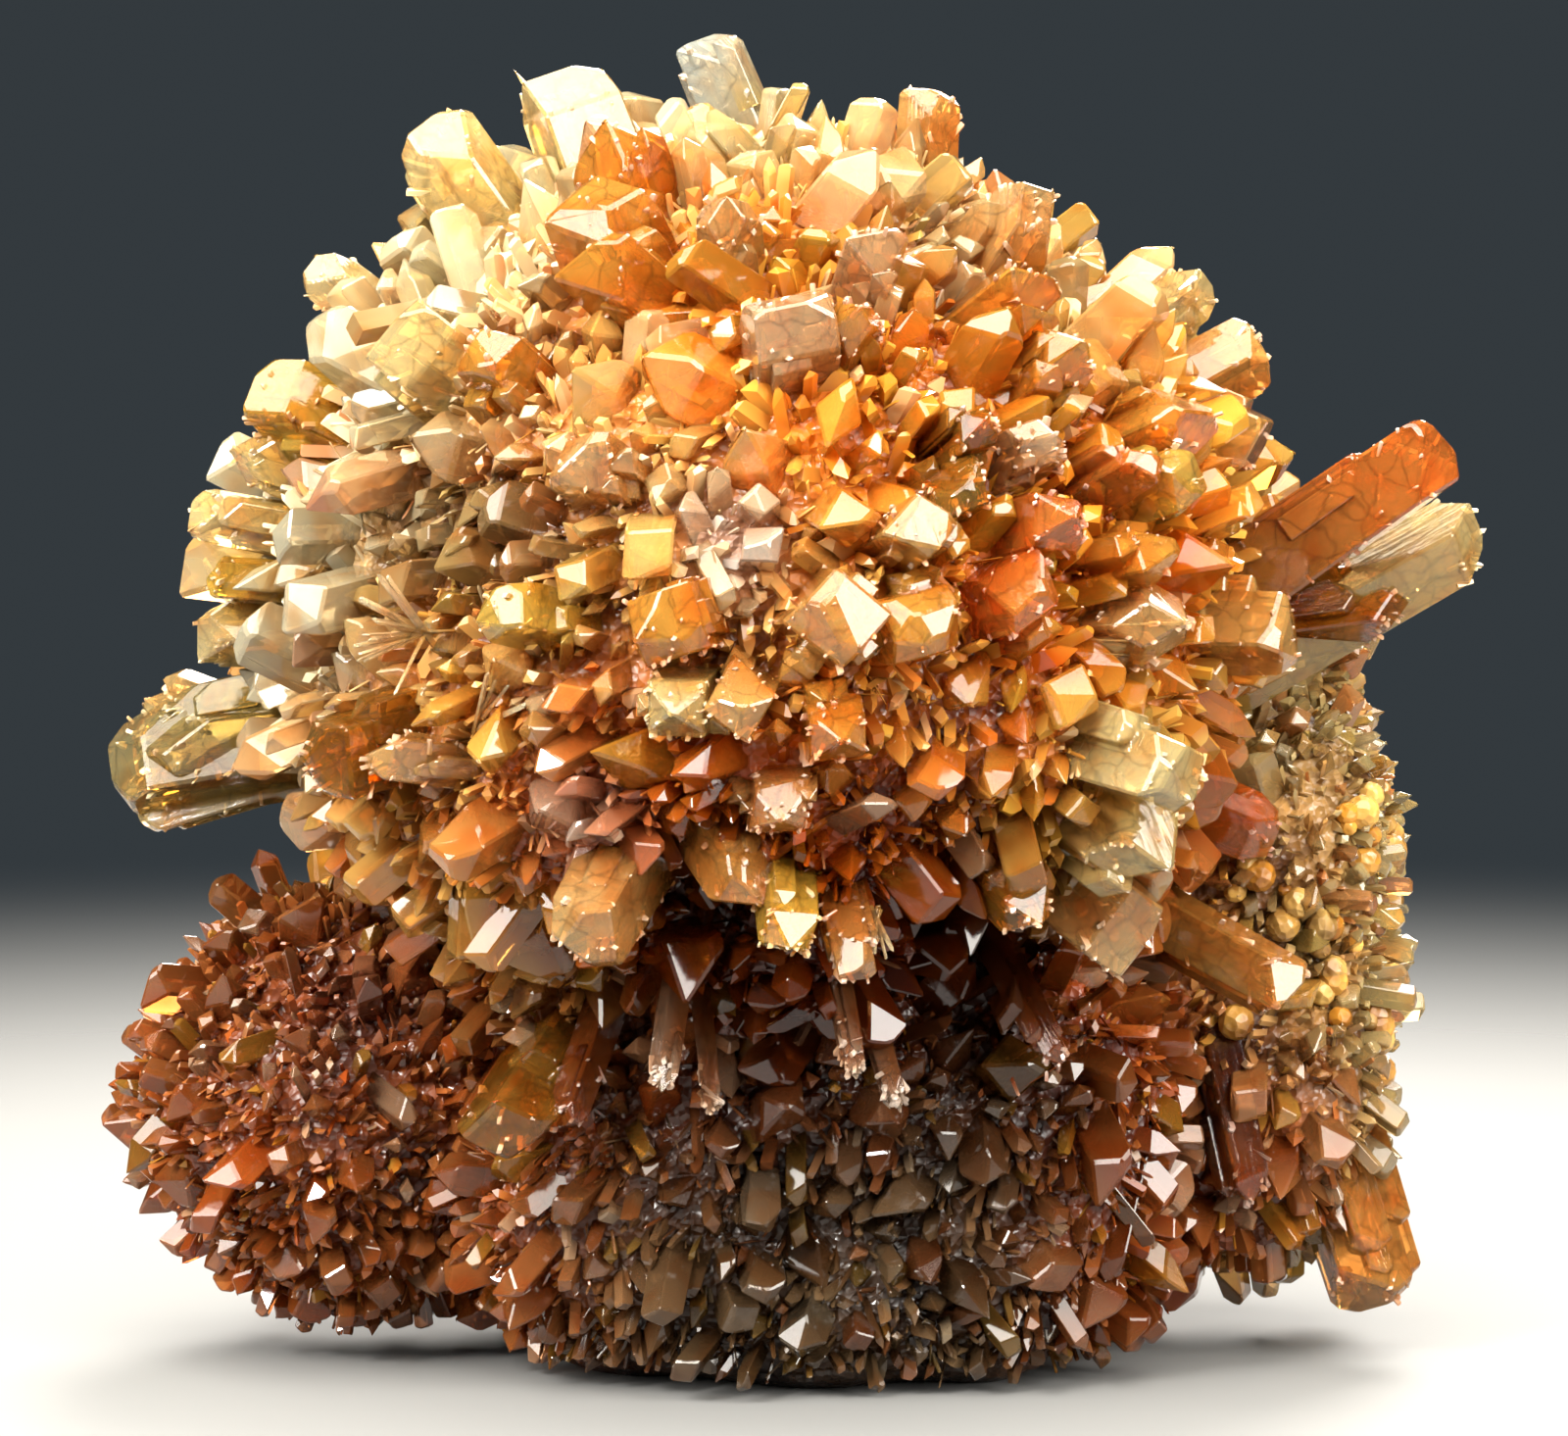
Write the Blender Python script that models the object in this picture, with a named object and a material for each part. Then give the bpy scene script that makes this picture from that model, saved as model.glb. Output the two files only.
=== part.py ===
"""Creedite cluster, 45 mm across: a ball of stout prismatic crystals with a smaller ball low on its left, a
broad foot and a rough crust behind, all grown together as one solid that stands on a small flat spot.

Lengths are written in millimetres and built in metres, +Z up. The origin is on the flat spot, under the
middle of the cluster.
The cluster is seen from -Y, a little above level. A large crystal is placed by where its tip is seen from
there: so far across and up from the middle of the main ball, and so far towards the eye.
"""

import math
import random

import bmesh
import bpy
from mathutils import Matrix, Vector, noise

MM = 0.001

# The lumps that the crystals grow from: middle, half sizes, boxiness (2 is an oval), how many cells
# along each edge of the cube that it is rounded from, and how far its small crystals stand out
BALL_CENTRE = Vector((-1.5, -2.0, 24.8))
BALL_RADIUS = 15.3
LUMPS = {
    "ball": (BALL_CENTRE, Vector((1, 1, 1)) * BALL_RADIUS, 2.0, 7, (0.8, 2.1)),
    "left_ball": (Vector((-14.9, 3.0, 8.6)), Vector((6.9, 6.9, 6.7)), 2.0, 5, (0.7, 1.6)),
    "foot": (Vector((0.3, 1.5, 8.5)), Vector((11.4, 9.0, 9.0)), 3.5, 5, (0.6, 1.5)),
    "crust": (Vector((1.5, 7.5, 17.5)), Vector((16.5, 6.0, 14.0)), 3.0, 5, (0.4, 1.2)),
    "right_wall": (Vector((13.6, 5.0, 12.8)), Vector((5.4, 6.5, 9.4)), 4.0, 3, (0.6, 1.4)),
}
BALL_UNDERSIDE = 0.86

LUMP_HEIGHT = 0.5
LUMP_SIZE = 4.5
CELL_JITTER = 0.28
CELL_TAPER = (0.55, 0.75)
CELL_LEAN = 0.22
CELL_SLOPE = 0.5
POINTED_SHARE = 0.55
POINT_HEIGHT = (0.35, 0.6)
BURIED = 0.6
LOWEST_TIP = 0.3
ROOT_DEPTH = 2.4
TAPER = 0.9

# The view that the large crystals are placed from
VIEW_ELEVATION = math.radians(6)
ACROSS = Vector((1, 0, 0))
UPWARDS = Vector((0, math.sin(VIEW_ELEVATION), math.cos(VIEW_ELEVATION)))
TOWARDS = Vector((0, -math.cos(VIEW_ELEVATION), math.sin(VIEW_ELEVATION)))

# Hollows in the ball: across, up, radius and depth
HOLLOWS = (
    (-1.6, -9.6, 2.6, 4.0),
    (6.9, -11.2, 2.2, 3.0),
    (-9.6, 2.4, 3.0, 1.6),
    (8.0, 12.6, 4.5, 1.3),
)

# Ends of the large crystals: compass angle and slope of each face, and how far back it starts
POINT = ((40, 47, 0.0), (140, 45, 0.05), (222, 50, 0.0), (318, 44, 0.08))
ROOF = ((90, 42, 0.0), (270, 46, 0.0), (0, 24, 0.35))
CHISEL = ((75, 56, 0.0), (200, 22, 0.1), (310, 34, 0.25))
CLEAVED = ((20, 9, 0.0), (130, 38, 0.55), (250, 42, 0.6))

# Large crystals that point straight out of the ball:
# across, up, stands out, width, thickness, turn, end
OUTWARD = (
    (-6.7, 18.1, 4.0, 3.0, 2.6, 20, ROOF),
    (-11.0, 16.2, 4.6, 3.3, 2.7, 35, ROOF),
    (-5.0, 15.9, 3.6, 3.0, 2.8, 10, POINT),
    (-5.3, 13.4, 2.8, 3.6, 3.0, 5, CLEAVED),
    (-1.1, 13.3, 3.2, 1.7, 1.6, 40, POINT),
    (1.0, 9.8, 3.2, 2.9, 2.4, 15, ROOF),
    (3.0, 9.8, 2.9, 1.6, 1.6, 45, POINT),
    (3.7, 12.2, 2.8, 2.3, 2.0, 25, ROOF),
    (7.0, 6.2, 3.0, 1.8, 1.5, 60, POINT),
    (9.2, 5.8, 2.6, 1.8, 1.6, 20, POINT),
    (9.8, 3.2, 3.4, 2.3, 2.3, 45, POINT),
    (13.6, 4.6, 3.0, 2.3, 2.2, 0, CLEAVED),
    (12.8, 2.0, 2.8, 2.4, 2.0, 30, ROOF),
    (13.4, -0.1, 3.0, 2.5, 2.4, 50, POINT),
    (17.0, -0.4, 3.0, 3.2, 2.7, 10, CLEAVED),
    (6.4, 4.2, 2.7, 2.4, 2.0, 65, CHISEL),
    (5.1, 2.9, 2.9, 2.6, 2.0, 12, CLEAVED),
    (2.5, 0.0, 3.6, 3.2, 3.0, 4, CLEAVED),
    (5.2, -0.2, 3.0, 2.7, 2.2, 14, CLEAVED),
    (8.6, 0.9, 2.8, 2.8, 2.1, 75, CHISEL),
    (-3.0, -0.2, 3.0, 2.4, 2.4, 18, CLEAVED),
    (-2.8, -3.0, 3.4, 2.4, 2.4, 44, POINT),
    (-0.7, -2.7, 3.1, 2.2, 2.4, 12, CHISEL),
    (2.5, -3.8, 2.9, 2.5, 2.2, 50, POINT),
    (0.6, -6.3, 2.4, 2.6, 2.0, 45, POINT),
    (-5.7, -10.2, 3.2, 2.3, 2.5, 8, CLEAVED),
    (0.9, -10.3, 2.9, 2.1, 2.0, 30, POINT),
    (3.0, -11.0, 3.0, 1.7, 1.6, 55, CHISEL),
    (12.2, -10.4, 3.0, 2.9, 2.4, 35, ROOF),
    (8.8, -9.6, 2.8, 2.2, 2.0, 50, POINT),
    (16.8, -7.0, 2.4, 1.9, 1.8, 35, ROOF),
    (14.1, 6.6, 3.0, 3.2, 2.8, 25, ROOF),
    (16.5, 6.5, 2.8, 2.6, 2.4, 60, ROOF),
    (16.3, 9.0, 3.2, 2.6, 2.4, 5, CLEAVED),
    (14.6, 11.2, 3.0, 1.7, 1.5, 40, ROOF),
    (9.1, 13.9, 2.4, 2.2, 2.0, 30, ROOF),
    (-14.7, 11.7, 3.6, 2.0, 1.8, 30, ROOF),
    (-16.6, 7.7, 3.2, 2.5, 2.2, 50, ROOF),
    (-17.3, 5.6, 3.0, 1.9, 1.7, 10, POINT),
    (-18.6, 3.6, 3.8, 2.0, 1.8, 65, ROOF),
    (-18.0, 1.4, 3.0, 1.6, 1.5, 20, CHISEL),
    (-18.4, -0.3, 3.2, 2.1, 1.9, 80, ROOF),
    (-14.1, -4.6, 3.2, 2.9, 2.5, 15, CLEAVED),
    (-5.8, 5.1, 2.6, 2.5, 2.3, 40, ROOF),
    (-8.8, 8.5, 2.6, 2.4, 2.0, 12, CLEAVED),
    (-11.8, 9.3, 3.2, 2.8, 2.4, 35, ROOF),
)

# Large crystals that lean away from straight out: where the tip is (across, up, towards), which way
# it points, width, thickness, length, turn, end
LEANING = (
    ((-1.9, 19.2, -0.5), (-0.38, 0.92, -0.05), 2.4, 2.2, 6.5, 25, ROOF),
    ((5.5, 17.5, -1.5), (0.06, 0.99, -0.05), 2.0, 1.8, 6.0, 5, CLEAVED),
    ((2.9, 16.3, -1.0), (0.25, 0.95, -0.1), 2.8, 2.2, 4.0, 60, POINT),
    ((-5.6, 11.6, 13.0), (-0.62, 0.55, 0.55), 2.7, 2.4, 5.5, 15, ROOF),
    ((8.9, 10.9, 11.4), (0.64, 0.52, 0.56), 2.7, 2.5, 6.5, 20, ROOF),
    ((10.2, 8.8, 12.0), (0.55, 0.50, 0.67), 2.3, 2.2, 6.0, 48, POINT),
    ((12.4, 5.2, 12.2), (0.70, 0.42, 0.58), 1.9, 1.7, 6.0, 30, CHISEL),
    ((22.3, 5.9, 1.8), (0.80, 0.56, 0.18), 3.4, 3.0, 9.5, 30, ROOF),
    ((23.6, 3.2, -2.4), (0.86, 0.48, -0.10), 2.5, 2.2, 9.0, 50, ROOF),
    ((21.3, 0.8, -1.8), (0.97, 0.12, -0.10), 2.3, 2.1, 7.0, 15, POINT),
    ((20.4, -22.7, -5.5), (0.30, -0.95, 0.02), 3.3, 2.9, 9.0, 35, ROOF),
    ((-21.4, -4.9, -2.0), (-0.97, -0.18, -0.05), 2.9, 2.5, 7.5, 40, ROOF),
    ((-20.4, -2.6, -2.6), (-0.92, 0.36, -0.10), 2.5, 2.2, 6.5, 10, POINT),
    ((-12.3, -4.2, 12.6), (-0.82, 0.10, 0.56), 2.0, 1.8, 6.5, 20, CHISEL),
    ((-8.3, 0.3, 15.8), (-0.66, 0.14, 0.74), 2.0, 1.7, 5.0, 8, CLEAVED),
    ((0.0, -9.0, 13.6), (0.42, -0.66, 0.62), 2.5, 2.3, 6.0, 25, POINT),
    ((13.2, -5.0, 13.4), (0.70, -0.22, 0.68), 3.0, 2.7, 6.5, 12, CLEAVED),
    ((12.9, -7.9, 11.6), (0.58, -0.52, 0.62), 3.1, 2.8, 6.5, 40, POINT),
    ((17.9, -12.2, 4.0), (0.72, -0.40, 0.50), 2.4, 2.2, 7.0, 15, CLEAVED),
    ((16.2, -21.0, -0.5), (0.20, -0.96, 0.20), 2.2, 2.0, 6.0, 30, POINT),
    ((-8.4, -16.4, 7.0), (-0.30, -0.45, 0.80), 3.2, 2.2, 6.0, 10, CLEAVED),
    ((20.8, -17.2, -6.5), (0.90, -0.35, 0.10), 2.6, 1.6, 5.0, 5, CLEAVED),
)


def lump_reach(name, direction):
    """Distance from the middle of a lump to its rough surface."""
    radii, power = LUMPS[name][1:3]
    reach = sum(abs(d / r) ** power for d, r in zip(direction, radii)) ** (-1 / power)
    if name == "ball":
        if direction.z < 0:
            reach *= 1 - (1 - BALL_UNDERSIDE) * direction.z**2
        if direction.dot(TOWARDS) > 0:
            reach -= hollow_depth(direction)
    rough = noise.noise(direction * reach / LUMP_SIZE + radii)
    return reach + LUMP_HEIGHT * 2 * rough


def hollow_depth(direction):
    """How deep the ball is hollowed where a line from its middle comes out."""
    seen = Vector((direction.dot(ACROSS), direction.dot(UPWARDS))) * BALL_RADIUS
    depth = 0
    for across, up, radius, deepest in HOLLOWS:
        away = (seen - Vector((across, up))).length / radius
        depth += deepest * math.exp(-away * away)
    return depth


def depth_in_others(place, own):
    """How deep a place lies under the surface of the other lumps."""
    depths = []
    for name, (centre, *_) in LUMPS.items():
        out = place - centre
        if name != own:
            depths.append(lump_reach(name, out.normalized()) - out.length)
    return max(depths)


def make_cells(name, dice):
    """A lump as a rounded cube whose four-sided cells are uneven."""
    centre, _, _, cuts, _ = LUMPS[name]
    bm = bmesh.new()
    bmesh.ops.create_cube(bm, size=2)
    bmesh.ops.subdivide_edges(bm, edges=bm.edges, cuts=cuts - 1, use_grid_fill=True)
    for vert in bm.verts:
        even = Vector([math.tan(c * math.pi / 4) for c in vert.co])
        shift = Vector((dice.uniform(-1, 1), dice.uniform(-1, 1), dice.uniform(-1, 1)))
        direction = (even + shift * CELL_JITTER * 2 / cuts).normalized()
        vert.co = centre + direction * lump_reach(name, direction)
    return bm


def cell_is_free(cell, name, taken):
    """Whether a small crystal has room on a cell of a lump."""
    middle = cell.calc_center_median()
    outward = middle - LUMPS[name][0]
    tip = middle + outward.normalized() * LUMPS[name][4][1]
    near = any((middle - root).length < width * 0.5 + 0.4 for root, width in taken)
    buried = depth_in_others(middle, name) > BURIED
    return not near and not buried and tip.z > LOWEST_TIP + 0.5


def grow_cells(bm, name, dice, taken):
    """Raises a tapered crystal, pointed or cleaved, on each free cell of a lump."""
    centre, _, _, _, heights = LUMPS[name]
    cells = [face for face in bm.faces if cell_is_free(face, name, taken)]
    for end in bmesh.ops.extrude_discrete_faces(bm, faces=cells)["faces"]:
        middle = end.calc_center_median()
        outward = (middle - centre).normalized()
        sway = Vector((dice.uniform(-1, 1), dice.uniform(-1, 1), dice.uniform(-1, 1)))
        sway -= outward * sway.dot(outward)
        top = middle + (outward + sway * CELL_LEAN) * dice.uniform(*heights)
        taper = dice.uniform(*CELL_TAPER)
        pointed = dice.random() < POINTED_SHARE
        slope = 0 if pointed else CELL_SLOPE
        width = math.sqrt(end.calc_area()) * taper
        for vert in end.verts:
            offset = vert.co - middle
            offset -= outward * offset.dot(outward)
            vert.co = top + (offset + outward * offset.dot(sway) * slope) * taper
        point = width * dice.uniform(*POINT_HEIGHT)
        if pointed:
            end.normal_update()
            bmesh.ops.poke(bm, faces=[end], offset=point, center_mode="MEAN")
    return len(cells)


def slice_off(bm, place, normal):
    """Cuts away what lies beyond a plane, and closes the cut with a face."""
    geometry = bm.verts[:] + bm.edges[:] + bm.faces[:]
    cut = bmesh.ops.bisect_plane(
        bm, geom=geometry, dist=1e-4, plane_co=place, plane_no=normal, clear_outer=True
    )
    rim = [e for e in cut["geom_cut"] if isinstance(e, bmesh.types.BMEdge)]
    if rim:
        bmesh.ops.holes_fill(bm, edges=rim)


def make_crystal(tip, direction, width, thickness, length, turn, end):
    """A four-sided prism that ends in sloping faces, with its tip at a place."""
    bm = bmesh.new()
    bmesh.ops.create_cube(bm, size=1)
    bmesh.ops.scale(bm, vec=(width, thickness, length), verts=bm.verts)
    bmesh.ops.translate(bm, vec=(0, 0, -length / 2), verts=bm.verts)
    upper = [vert for vert in bm.verts if vert.co.z > -length / 2]
    bmesh.ops.scale(bm, vec=(TAPER, TAPER, 1), verts=upper)
    for compass, slope, back in end:
        around, tilt = math.radians(compass), math.radians(slope)
        sideways = Vector((math.cos(around), math.sin(around), 0))
        normal = sideways * math.sin(tilt) + Vector((0, 0, math.cos(tilt)))
        slice_off(bm, sideways * back * width / 2, normal)
    side = ACROSS - direction * ACROSS.dot(direction)
    if side.length < 0.1:
        side = UPWARDS - direction * UPWARDS.dot(direction)
    side.normalize()
    facing = Matrix((side, direction.cross(side), direction)).transposed().to_4x4()
    spin = Matrix.Rotation(math.radians(turn), 4, "Z")
    bmesh.ops.transform(bm, matrix=Matrix.Translation(tip) @ facing @ spin, verts=bm.verts)
    return bm


def seen_at(across, up, towards):
    """A place from where it is seen, measured from the middle of the main ball."""
    return BALL_CENTRE + ACROSS * across + UPWARDS * up + TOWARDS * towards


def large_crystals():
    """Every large crystal: tip, direction, width, thickness, length, turn and end."""
    for across, up, stands, width, thickness, turn, end in OUTWARD:
        flat = math.hypot(across, up)
        reach = max(BALL_RADIUS + stands, flat)
        tip = seen_at(across, up, math.sqrt(reach**2 - flat**2))
        direction = (tip - BALL_CENTRE).normalized()
        yield tip, direction, width, thickness, stands + ROOT_DEPTH, turn, end
    for tip, way, width, thickness, length, turn, end in LEANING:
        direction = ACROSS * way[0] + UPWARDS * way[1] + TOWARDS * way[2]
        yield seen_at(*tip), direction.normalized(), width, thickness, length, turn, end


def make_collection(name):
    made = bpy.data.collections.new(name)
    bpy.context.scene.collection.children.link(made)
    return made


def make_object(name, bm, holder):
    """Turns a bmesh in millimetres into an object in metres."""
    bmesh.ops.triangulate(bm, faces=bm.faces)
    bmesh.ops.recalc_face_normals(bm, faces=bm.faces)
    bmesh.ops.scale(bm, vec=(MM, MM, MM), verts=bm.verts)
    mesh = bpy.data.meshes.new(name)
    bm.to_mesh(mesh)
    bm.free()
    made = bpy.data.objects.new(name, mesh)
    holder.objects.link(made)
    return made


def grow_together(cluster, growths):
    """Joins everything in one solid, and fills the closed pockets left between the crystals."""
    union = cluster.modifiers.new("grown together", "BOOLEAN")
    union.operation = "UNION"
    union.operand_type = "COLLECTION"
    union.collection = growths
    union.solver = "EXACT"
    union.use_self = True
    joined = cluster.evaluated_get(bpy.context.evaluated_depsgraph_get())
    bm = bmesh.new()
    bm.from_mesh(bpy.data.meshes.new_from_object(joined))
    cluster.modifiers.remove(union)
    lowest = min(bm.verts, key=lambda vert: vert.co.z)
    skin, edge_of_skin = {lowest}, [lowest]
    while edge_of_skin:
        vert = edge_of_skin.pop()
        reached = {edge.other_vert(vert) for edge in vert.link_edges} - skin
        skin |= reached
        edge_of_skin += reached
    pockets = [vert for vert in bm.verts if vert not in skin]
    bmesh.ops.delete(bm, geom=pockets, context="VERTS")
    bm.to_mesh(cluster.data)
    bm.free()


def creedite_material():
    """Orange, glassy and half clear."""
    material = bpy.data.materials.new("creedite")
    material.use_nodes = True
    shader = material.node_tree.nodes["Principled BSDF"]
    shader.inputs["Base Color"].default_value = (0.72, 0.30, 0.07, 1)
    shader.inputs["Roughness"].default_value = 0.18
    shader.inputs["Metallic"].default_value = 0
    shader.inputs["Transmission Weight"].default_value = 0.4
    shader.inputs["IOR"].default_value = 1.47
    return material


def build():
    for old in list(bpy.data.objects):
        bpy.data.objects.remove(old, do_unlink=True)
    shown = make_collection("creedite_cluster")
    growths = make_collection("growths")
    large = list(large_crystals())
    taken = [(tip - way * (length - ROOT_DEPTH), width) for tip, way, width, _, length, _, _ in large]
    dice = random.Random(11)
    for name in LUMPS:
        bm = make_cells(name, dice)
        count = grow_cells(bm, name, dice, taken)
        slice_off(bm, Vector((0, 0, 0)), Vector((0, 0, -1)))
        print(name, "carries", count, "small crystals")
        if name == "ball":
            cluster = make_object("creedite_cluster", bm, shown)
        else:
            make_object(name, bm, growths)
    for number, crystal in enumerate(large):
        make_object(f"large_crystal_{number:02d}", make_crystal(*crystal), growths)
    for growth in growths.objects:
        growth.hide_render = True
        growth.display_type = "WIRE"
    grow_together(cluster, growths)
    cluster.data.materials.append(creedite_material())


build()
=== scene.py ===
# %% [markdown]
# A cluster of creedite crystals, 45 mm across.
# The real thing is one natural growth: a ball of stout four-sided crystals, a smaller ball low on
# its left, a broad foot and a rough crust behind. The frame holds it as one faceted solid. Here
# that solid is replaced by the growth as the eye sees it: a sugary skin, large glassy crystals in
# the same places as on the solid, and thousands of smaller ones between them. It could be sculpted
# in one piece, but real crystals are hundreds of repeats of one simple law, flat faces on a prism,
# so they are made by that law and placed with care. Lengths are in millimetres until a mesh is
# finished, then in metres.

# %% Load the frame
import math
import random
import bmesh
import bpy
import numpy as np
from mathutils import Matrix, Vector, kdtree, noise


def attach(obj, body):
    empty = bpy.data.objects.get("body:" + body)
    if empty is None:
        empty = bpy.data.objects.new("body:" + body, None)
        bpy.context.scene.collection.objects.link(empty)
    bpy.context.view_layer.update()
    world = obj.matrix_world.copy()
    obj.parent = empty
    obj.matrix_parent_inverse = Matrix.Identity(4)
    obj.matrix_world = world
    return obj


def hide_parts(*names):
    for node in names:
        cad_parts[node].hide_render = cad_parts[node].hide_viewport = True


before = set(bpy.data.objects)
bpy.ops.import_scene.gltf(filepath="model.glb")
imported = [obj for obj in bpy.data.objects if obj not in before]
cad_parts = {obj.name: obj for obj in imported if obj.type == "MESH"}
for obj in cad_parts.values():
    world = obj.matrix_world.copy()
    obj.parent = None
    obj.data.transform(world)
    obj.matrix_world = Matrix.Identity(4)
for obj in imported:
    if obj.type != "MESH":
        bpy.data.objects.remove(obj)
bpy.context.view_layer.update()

MM = 0.001
NODE = "creedite_cluster"

# %% [markdown]
# The view. The cluster is seen nearly level, from a little above. Its crystals could be placed in
# plain x, y and z, but a maker who looks at a specimen reads off how far across, how far up and
# how far towards the eye each one is. So places are given that way, from the middle of the main
# ball, and three unit directions turn them into world coordinates.

# %% View directions
VIEW_ELEVATION = math.radians(6)
ACROSS = Vector((1, 0, 0))
UPWARDS = Vector((0, math.sin(VIEW_ELEVATION), math.cos(VIEW_ELEVATION)))
TOWARDS = Vector((0, -math.cos(VIEW_ELEVATION), math.sin(VIEW_ELEVATION)))
BALL_CENTRE = Vector((-1.5, -2.0, 24.8))


def seen_at(across, up, towards):
    """A place in millimetres from where it is seen, measured from the middle of the main ball."""
    return BALL_CENTRE + ACROSS * across + UPWARDS * up + TOWARDS * towards


def as_seen(place):
    """The other way round: across, up and towards of a place."""
    out = place - BALL_CENTRE
    return Vector((out.dot(ACROSS), out.dot(UPWARDS), out.dot(TOWARDS)))


# %% [markdown]
# The camera. Something this small is pictured with a long lens from well back, so that the near
# side isn't swollen. The lens follows from the distance and from the 51 mm that fill the picture's
# width.

# %% Camera
CAMERA_DISTANCE = 350
FRAME_WIDTH = 51.2
SENSOR = 36.0
AIM = seen_at(0.7, -3.1, 0)

camera_data = bpy.data.cameras.new("camera")
camera_data.sensor_width = SENSOR
camera_data.lens = SENSOR * CAMERA_DISTANCE / FRAME_WIDTH
camera_data.clip_start = 0.01
camera = bpy.data.objects.new("camera", camera_data)
camera.location = (AIM + TOWARDS * CAMERA_DISTANCE) * MM
camera.rotation_euler = TOWARDS.to_track_quat("Z", "Y").to_euler()
bpy.context.scene.collection.objects.link(camera)
bpy.context.scene.camera = camera
print("lens", round(camera_data.lens), "mm")

# %% [markdown]
# The floor. A specimen is shown on a plain pale sheet in front of a slate backdrop. A sheet with
# an edge would draw a line across the cluster, so this one is a round of floor that turns
# see-through with the distance from its middle, and the backdrop's colour takes over without a
# horizon.

# %% Floor
FLOOR_RADIUS = 300
FADE_FROM = 30
FADE_TO = 150
FLOOR_COLOUR = (0.19, 0.19, 0.187)
FLOOR_ROUGHNESS = 0.7


def shader_node(tree, kind, **values):
    """A new node with values for its settings, or for its inputs by name or number."""
    node = tree.nodes.new(kind)
    for name, value in values.items():
        if name.startswith("input_"):
            node.inputs[int(name[6:])].default_value = value
        elif hasattr(node, name):
            setattr(node, name, value)
        else:
            node.inputs[name.replace("_", " ").title()].default_value = value
    return node


def new_material(name, **values):
    """A material with a Principled shader, and values for the shader's inputs by name."""
    material = bpy.data.materials.new(name)
    material.use_nodes = True
    shader = material.node_tree.nodes["Principled BSDF"]
    for socket, value in values.items():
        shader.inputs[socket.replace("_", " ").title().replace("Ior", "IOR")].default_value = value
    return material, material.node_tree, shader


floor_bm = bmesh.new()
bmesh.ops.create_circle(floor_bm, cap_ends=True, segments=96, radius=FLOOR_RADIUS * MM)
floor_mesh = bpy.data.meshes.new("floor")
floor_bm.to_mesh(floor_mesh)
floor_bm.free()
floor = bpy.data.objects.new("floor", floor_mesh)
floor_material, tree, _ = new_material(
    "pale floor", base_color=(*FLOOR_COLOUR, 1), roughness=FLOOR_ROUGHNESS
)
floor.data.materials.append(floor_material)
bpy.context.scene.collection.objects.link(floor)
place = shader_node(tree, "ShaderNodeTexCoord")
distance = shader_node(tree, "ShaderNodeVectorMath", operation="LENGTH")
fading = shader_node(
    tree, "ShaderNodeMapRange", interpolation_type="SMOOTHERSTEP",
    from_min=FADE_FROM * MM, from_max=FADE_TO * MM, to_min=1.0, to_max=0.0,
)
tree.links.new(place.outputs["Object"], distance.inputs[0])
tree.links.new(distance.outputs["Value"], fading.inputs["Value"])
tree.links.new(fading.outputs["Result"], tree.nodes["Principled BSDF"].inputs["Alpha"])
print("floor fades out", FADE_TO, "mm from its middle")

# %% [markdown]
# The light. A glassy crystal shows what it reflects more than its own colour, so the lamps matter
# as much as the stain. A wide soft lamp above gives every face a smooth sheen, two fills open the
# flanks, a small lamp on the left makes sharp glints, and one behind sends light through the clear
# rims. A sky picture could do this too, but lamps of known size keep the glints where they are
# wanted. Few bounces are enough: past the fourth one the gaps are meant to stay dark.

# %% Lamps and backdrop
# name, where it stands in mm, width in mm, watts, colour
LAMPS = (
    ("soft top light", (-20, -110, 310), 420, 5.45, (1.0, 0.96, 0.87)),
    ("glint", (-150, -230, 190), 50, 0.75, (1.0, 0.97, 0.92)),
    ("right fill", (240, -200, 150), 200, 2.1, (1.0, 0.97, 0.91)),
    ("left fill", (-240, -160, 170), 200, 1.8, (1.0, 0.97, 0.91)),
    ("back light", (60, 230, 210), 160, 1.8, (1.0, 0.95, 0.88)),
)
LIT_PLACE = Vector((0, 0, 22))
for name, place, width, watts, colour in LAMPS:
    lamp = bpy.data.lights.new(name, "AREA")
    lamp.size = width * MM
    lamp.energy = watts
    lamp.color = colour
    stand = bpy.data.objects.new(name, lamp)
    stand.location = Vector(place) * MM
    to_cluster = LIT_PLACE - Vector(place)
    stand.rotation_euler = to_cluster.to_track_quat("-Z", "Y").to_euler()
    bpy.context.scene.collection.objects.link(stand)

SLATE = (0.034, 0.042, 0.048, 1)
world = bpy.data.worlds.new("plain backdrop")
world.use_nodes = True
world.node_tree.nodes["Background"].inputs["Color"].default_value = SLATE
bpy.context.scene.world = world
bpy.context.scene.view_settings.view_transform = "Standard"
cycles = bpy.context.scene.cycles
cycles.max_bounces = 4
cycles.diffuse_bounces = 2
cycles.glossy_bounces = 1
cycles.transmission_bounces = 4
cycles.caustics_reflective = False
cycles.use_light_tree = False
print(len(LAMPS), "lamps,", sum(row[3] for row in LAMPS), "watts")

# %% [markdown]
# The lumps. A cluster like this starts as a few rough lumps that crystals then cover. Each is an
# oval or a rounded box, given by a formula for how far its surface is from its middle in any
# direction, with noise for the roughness. They could be sculpted by hand, but the solid in the
# frame has the same lumps, and with the same rows the skin lies where the solid's surface does.
# A row holds the middle, the half sizes and the boxiness (2 is an oval). The hollows are the
# pockets that look dark from the front.

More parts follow.
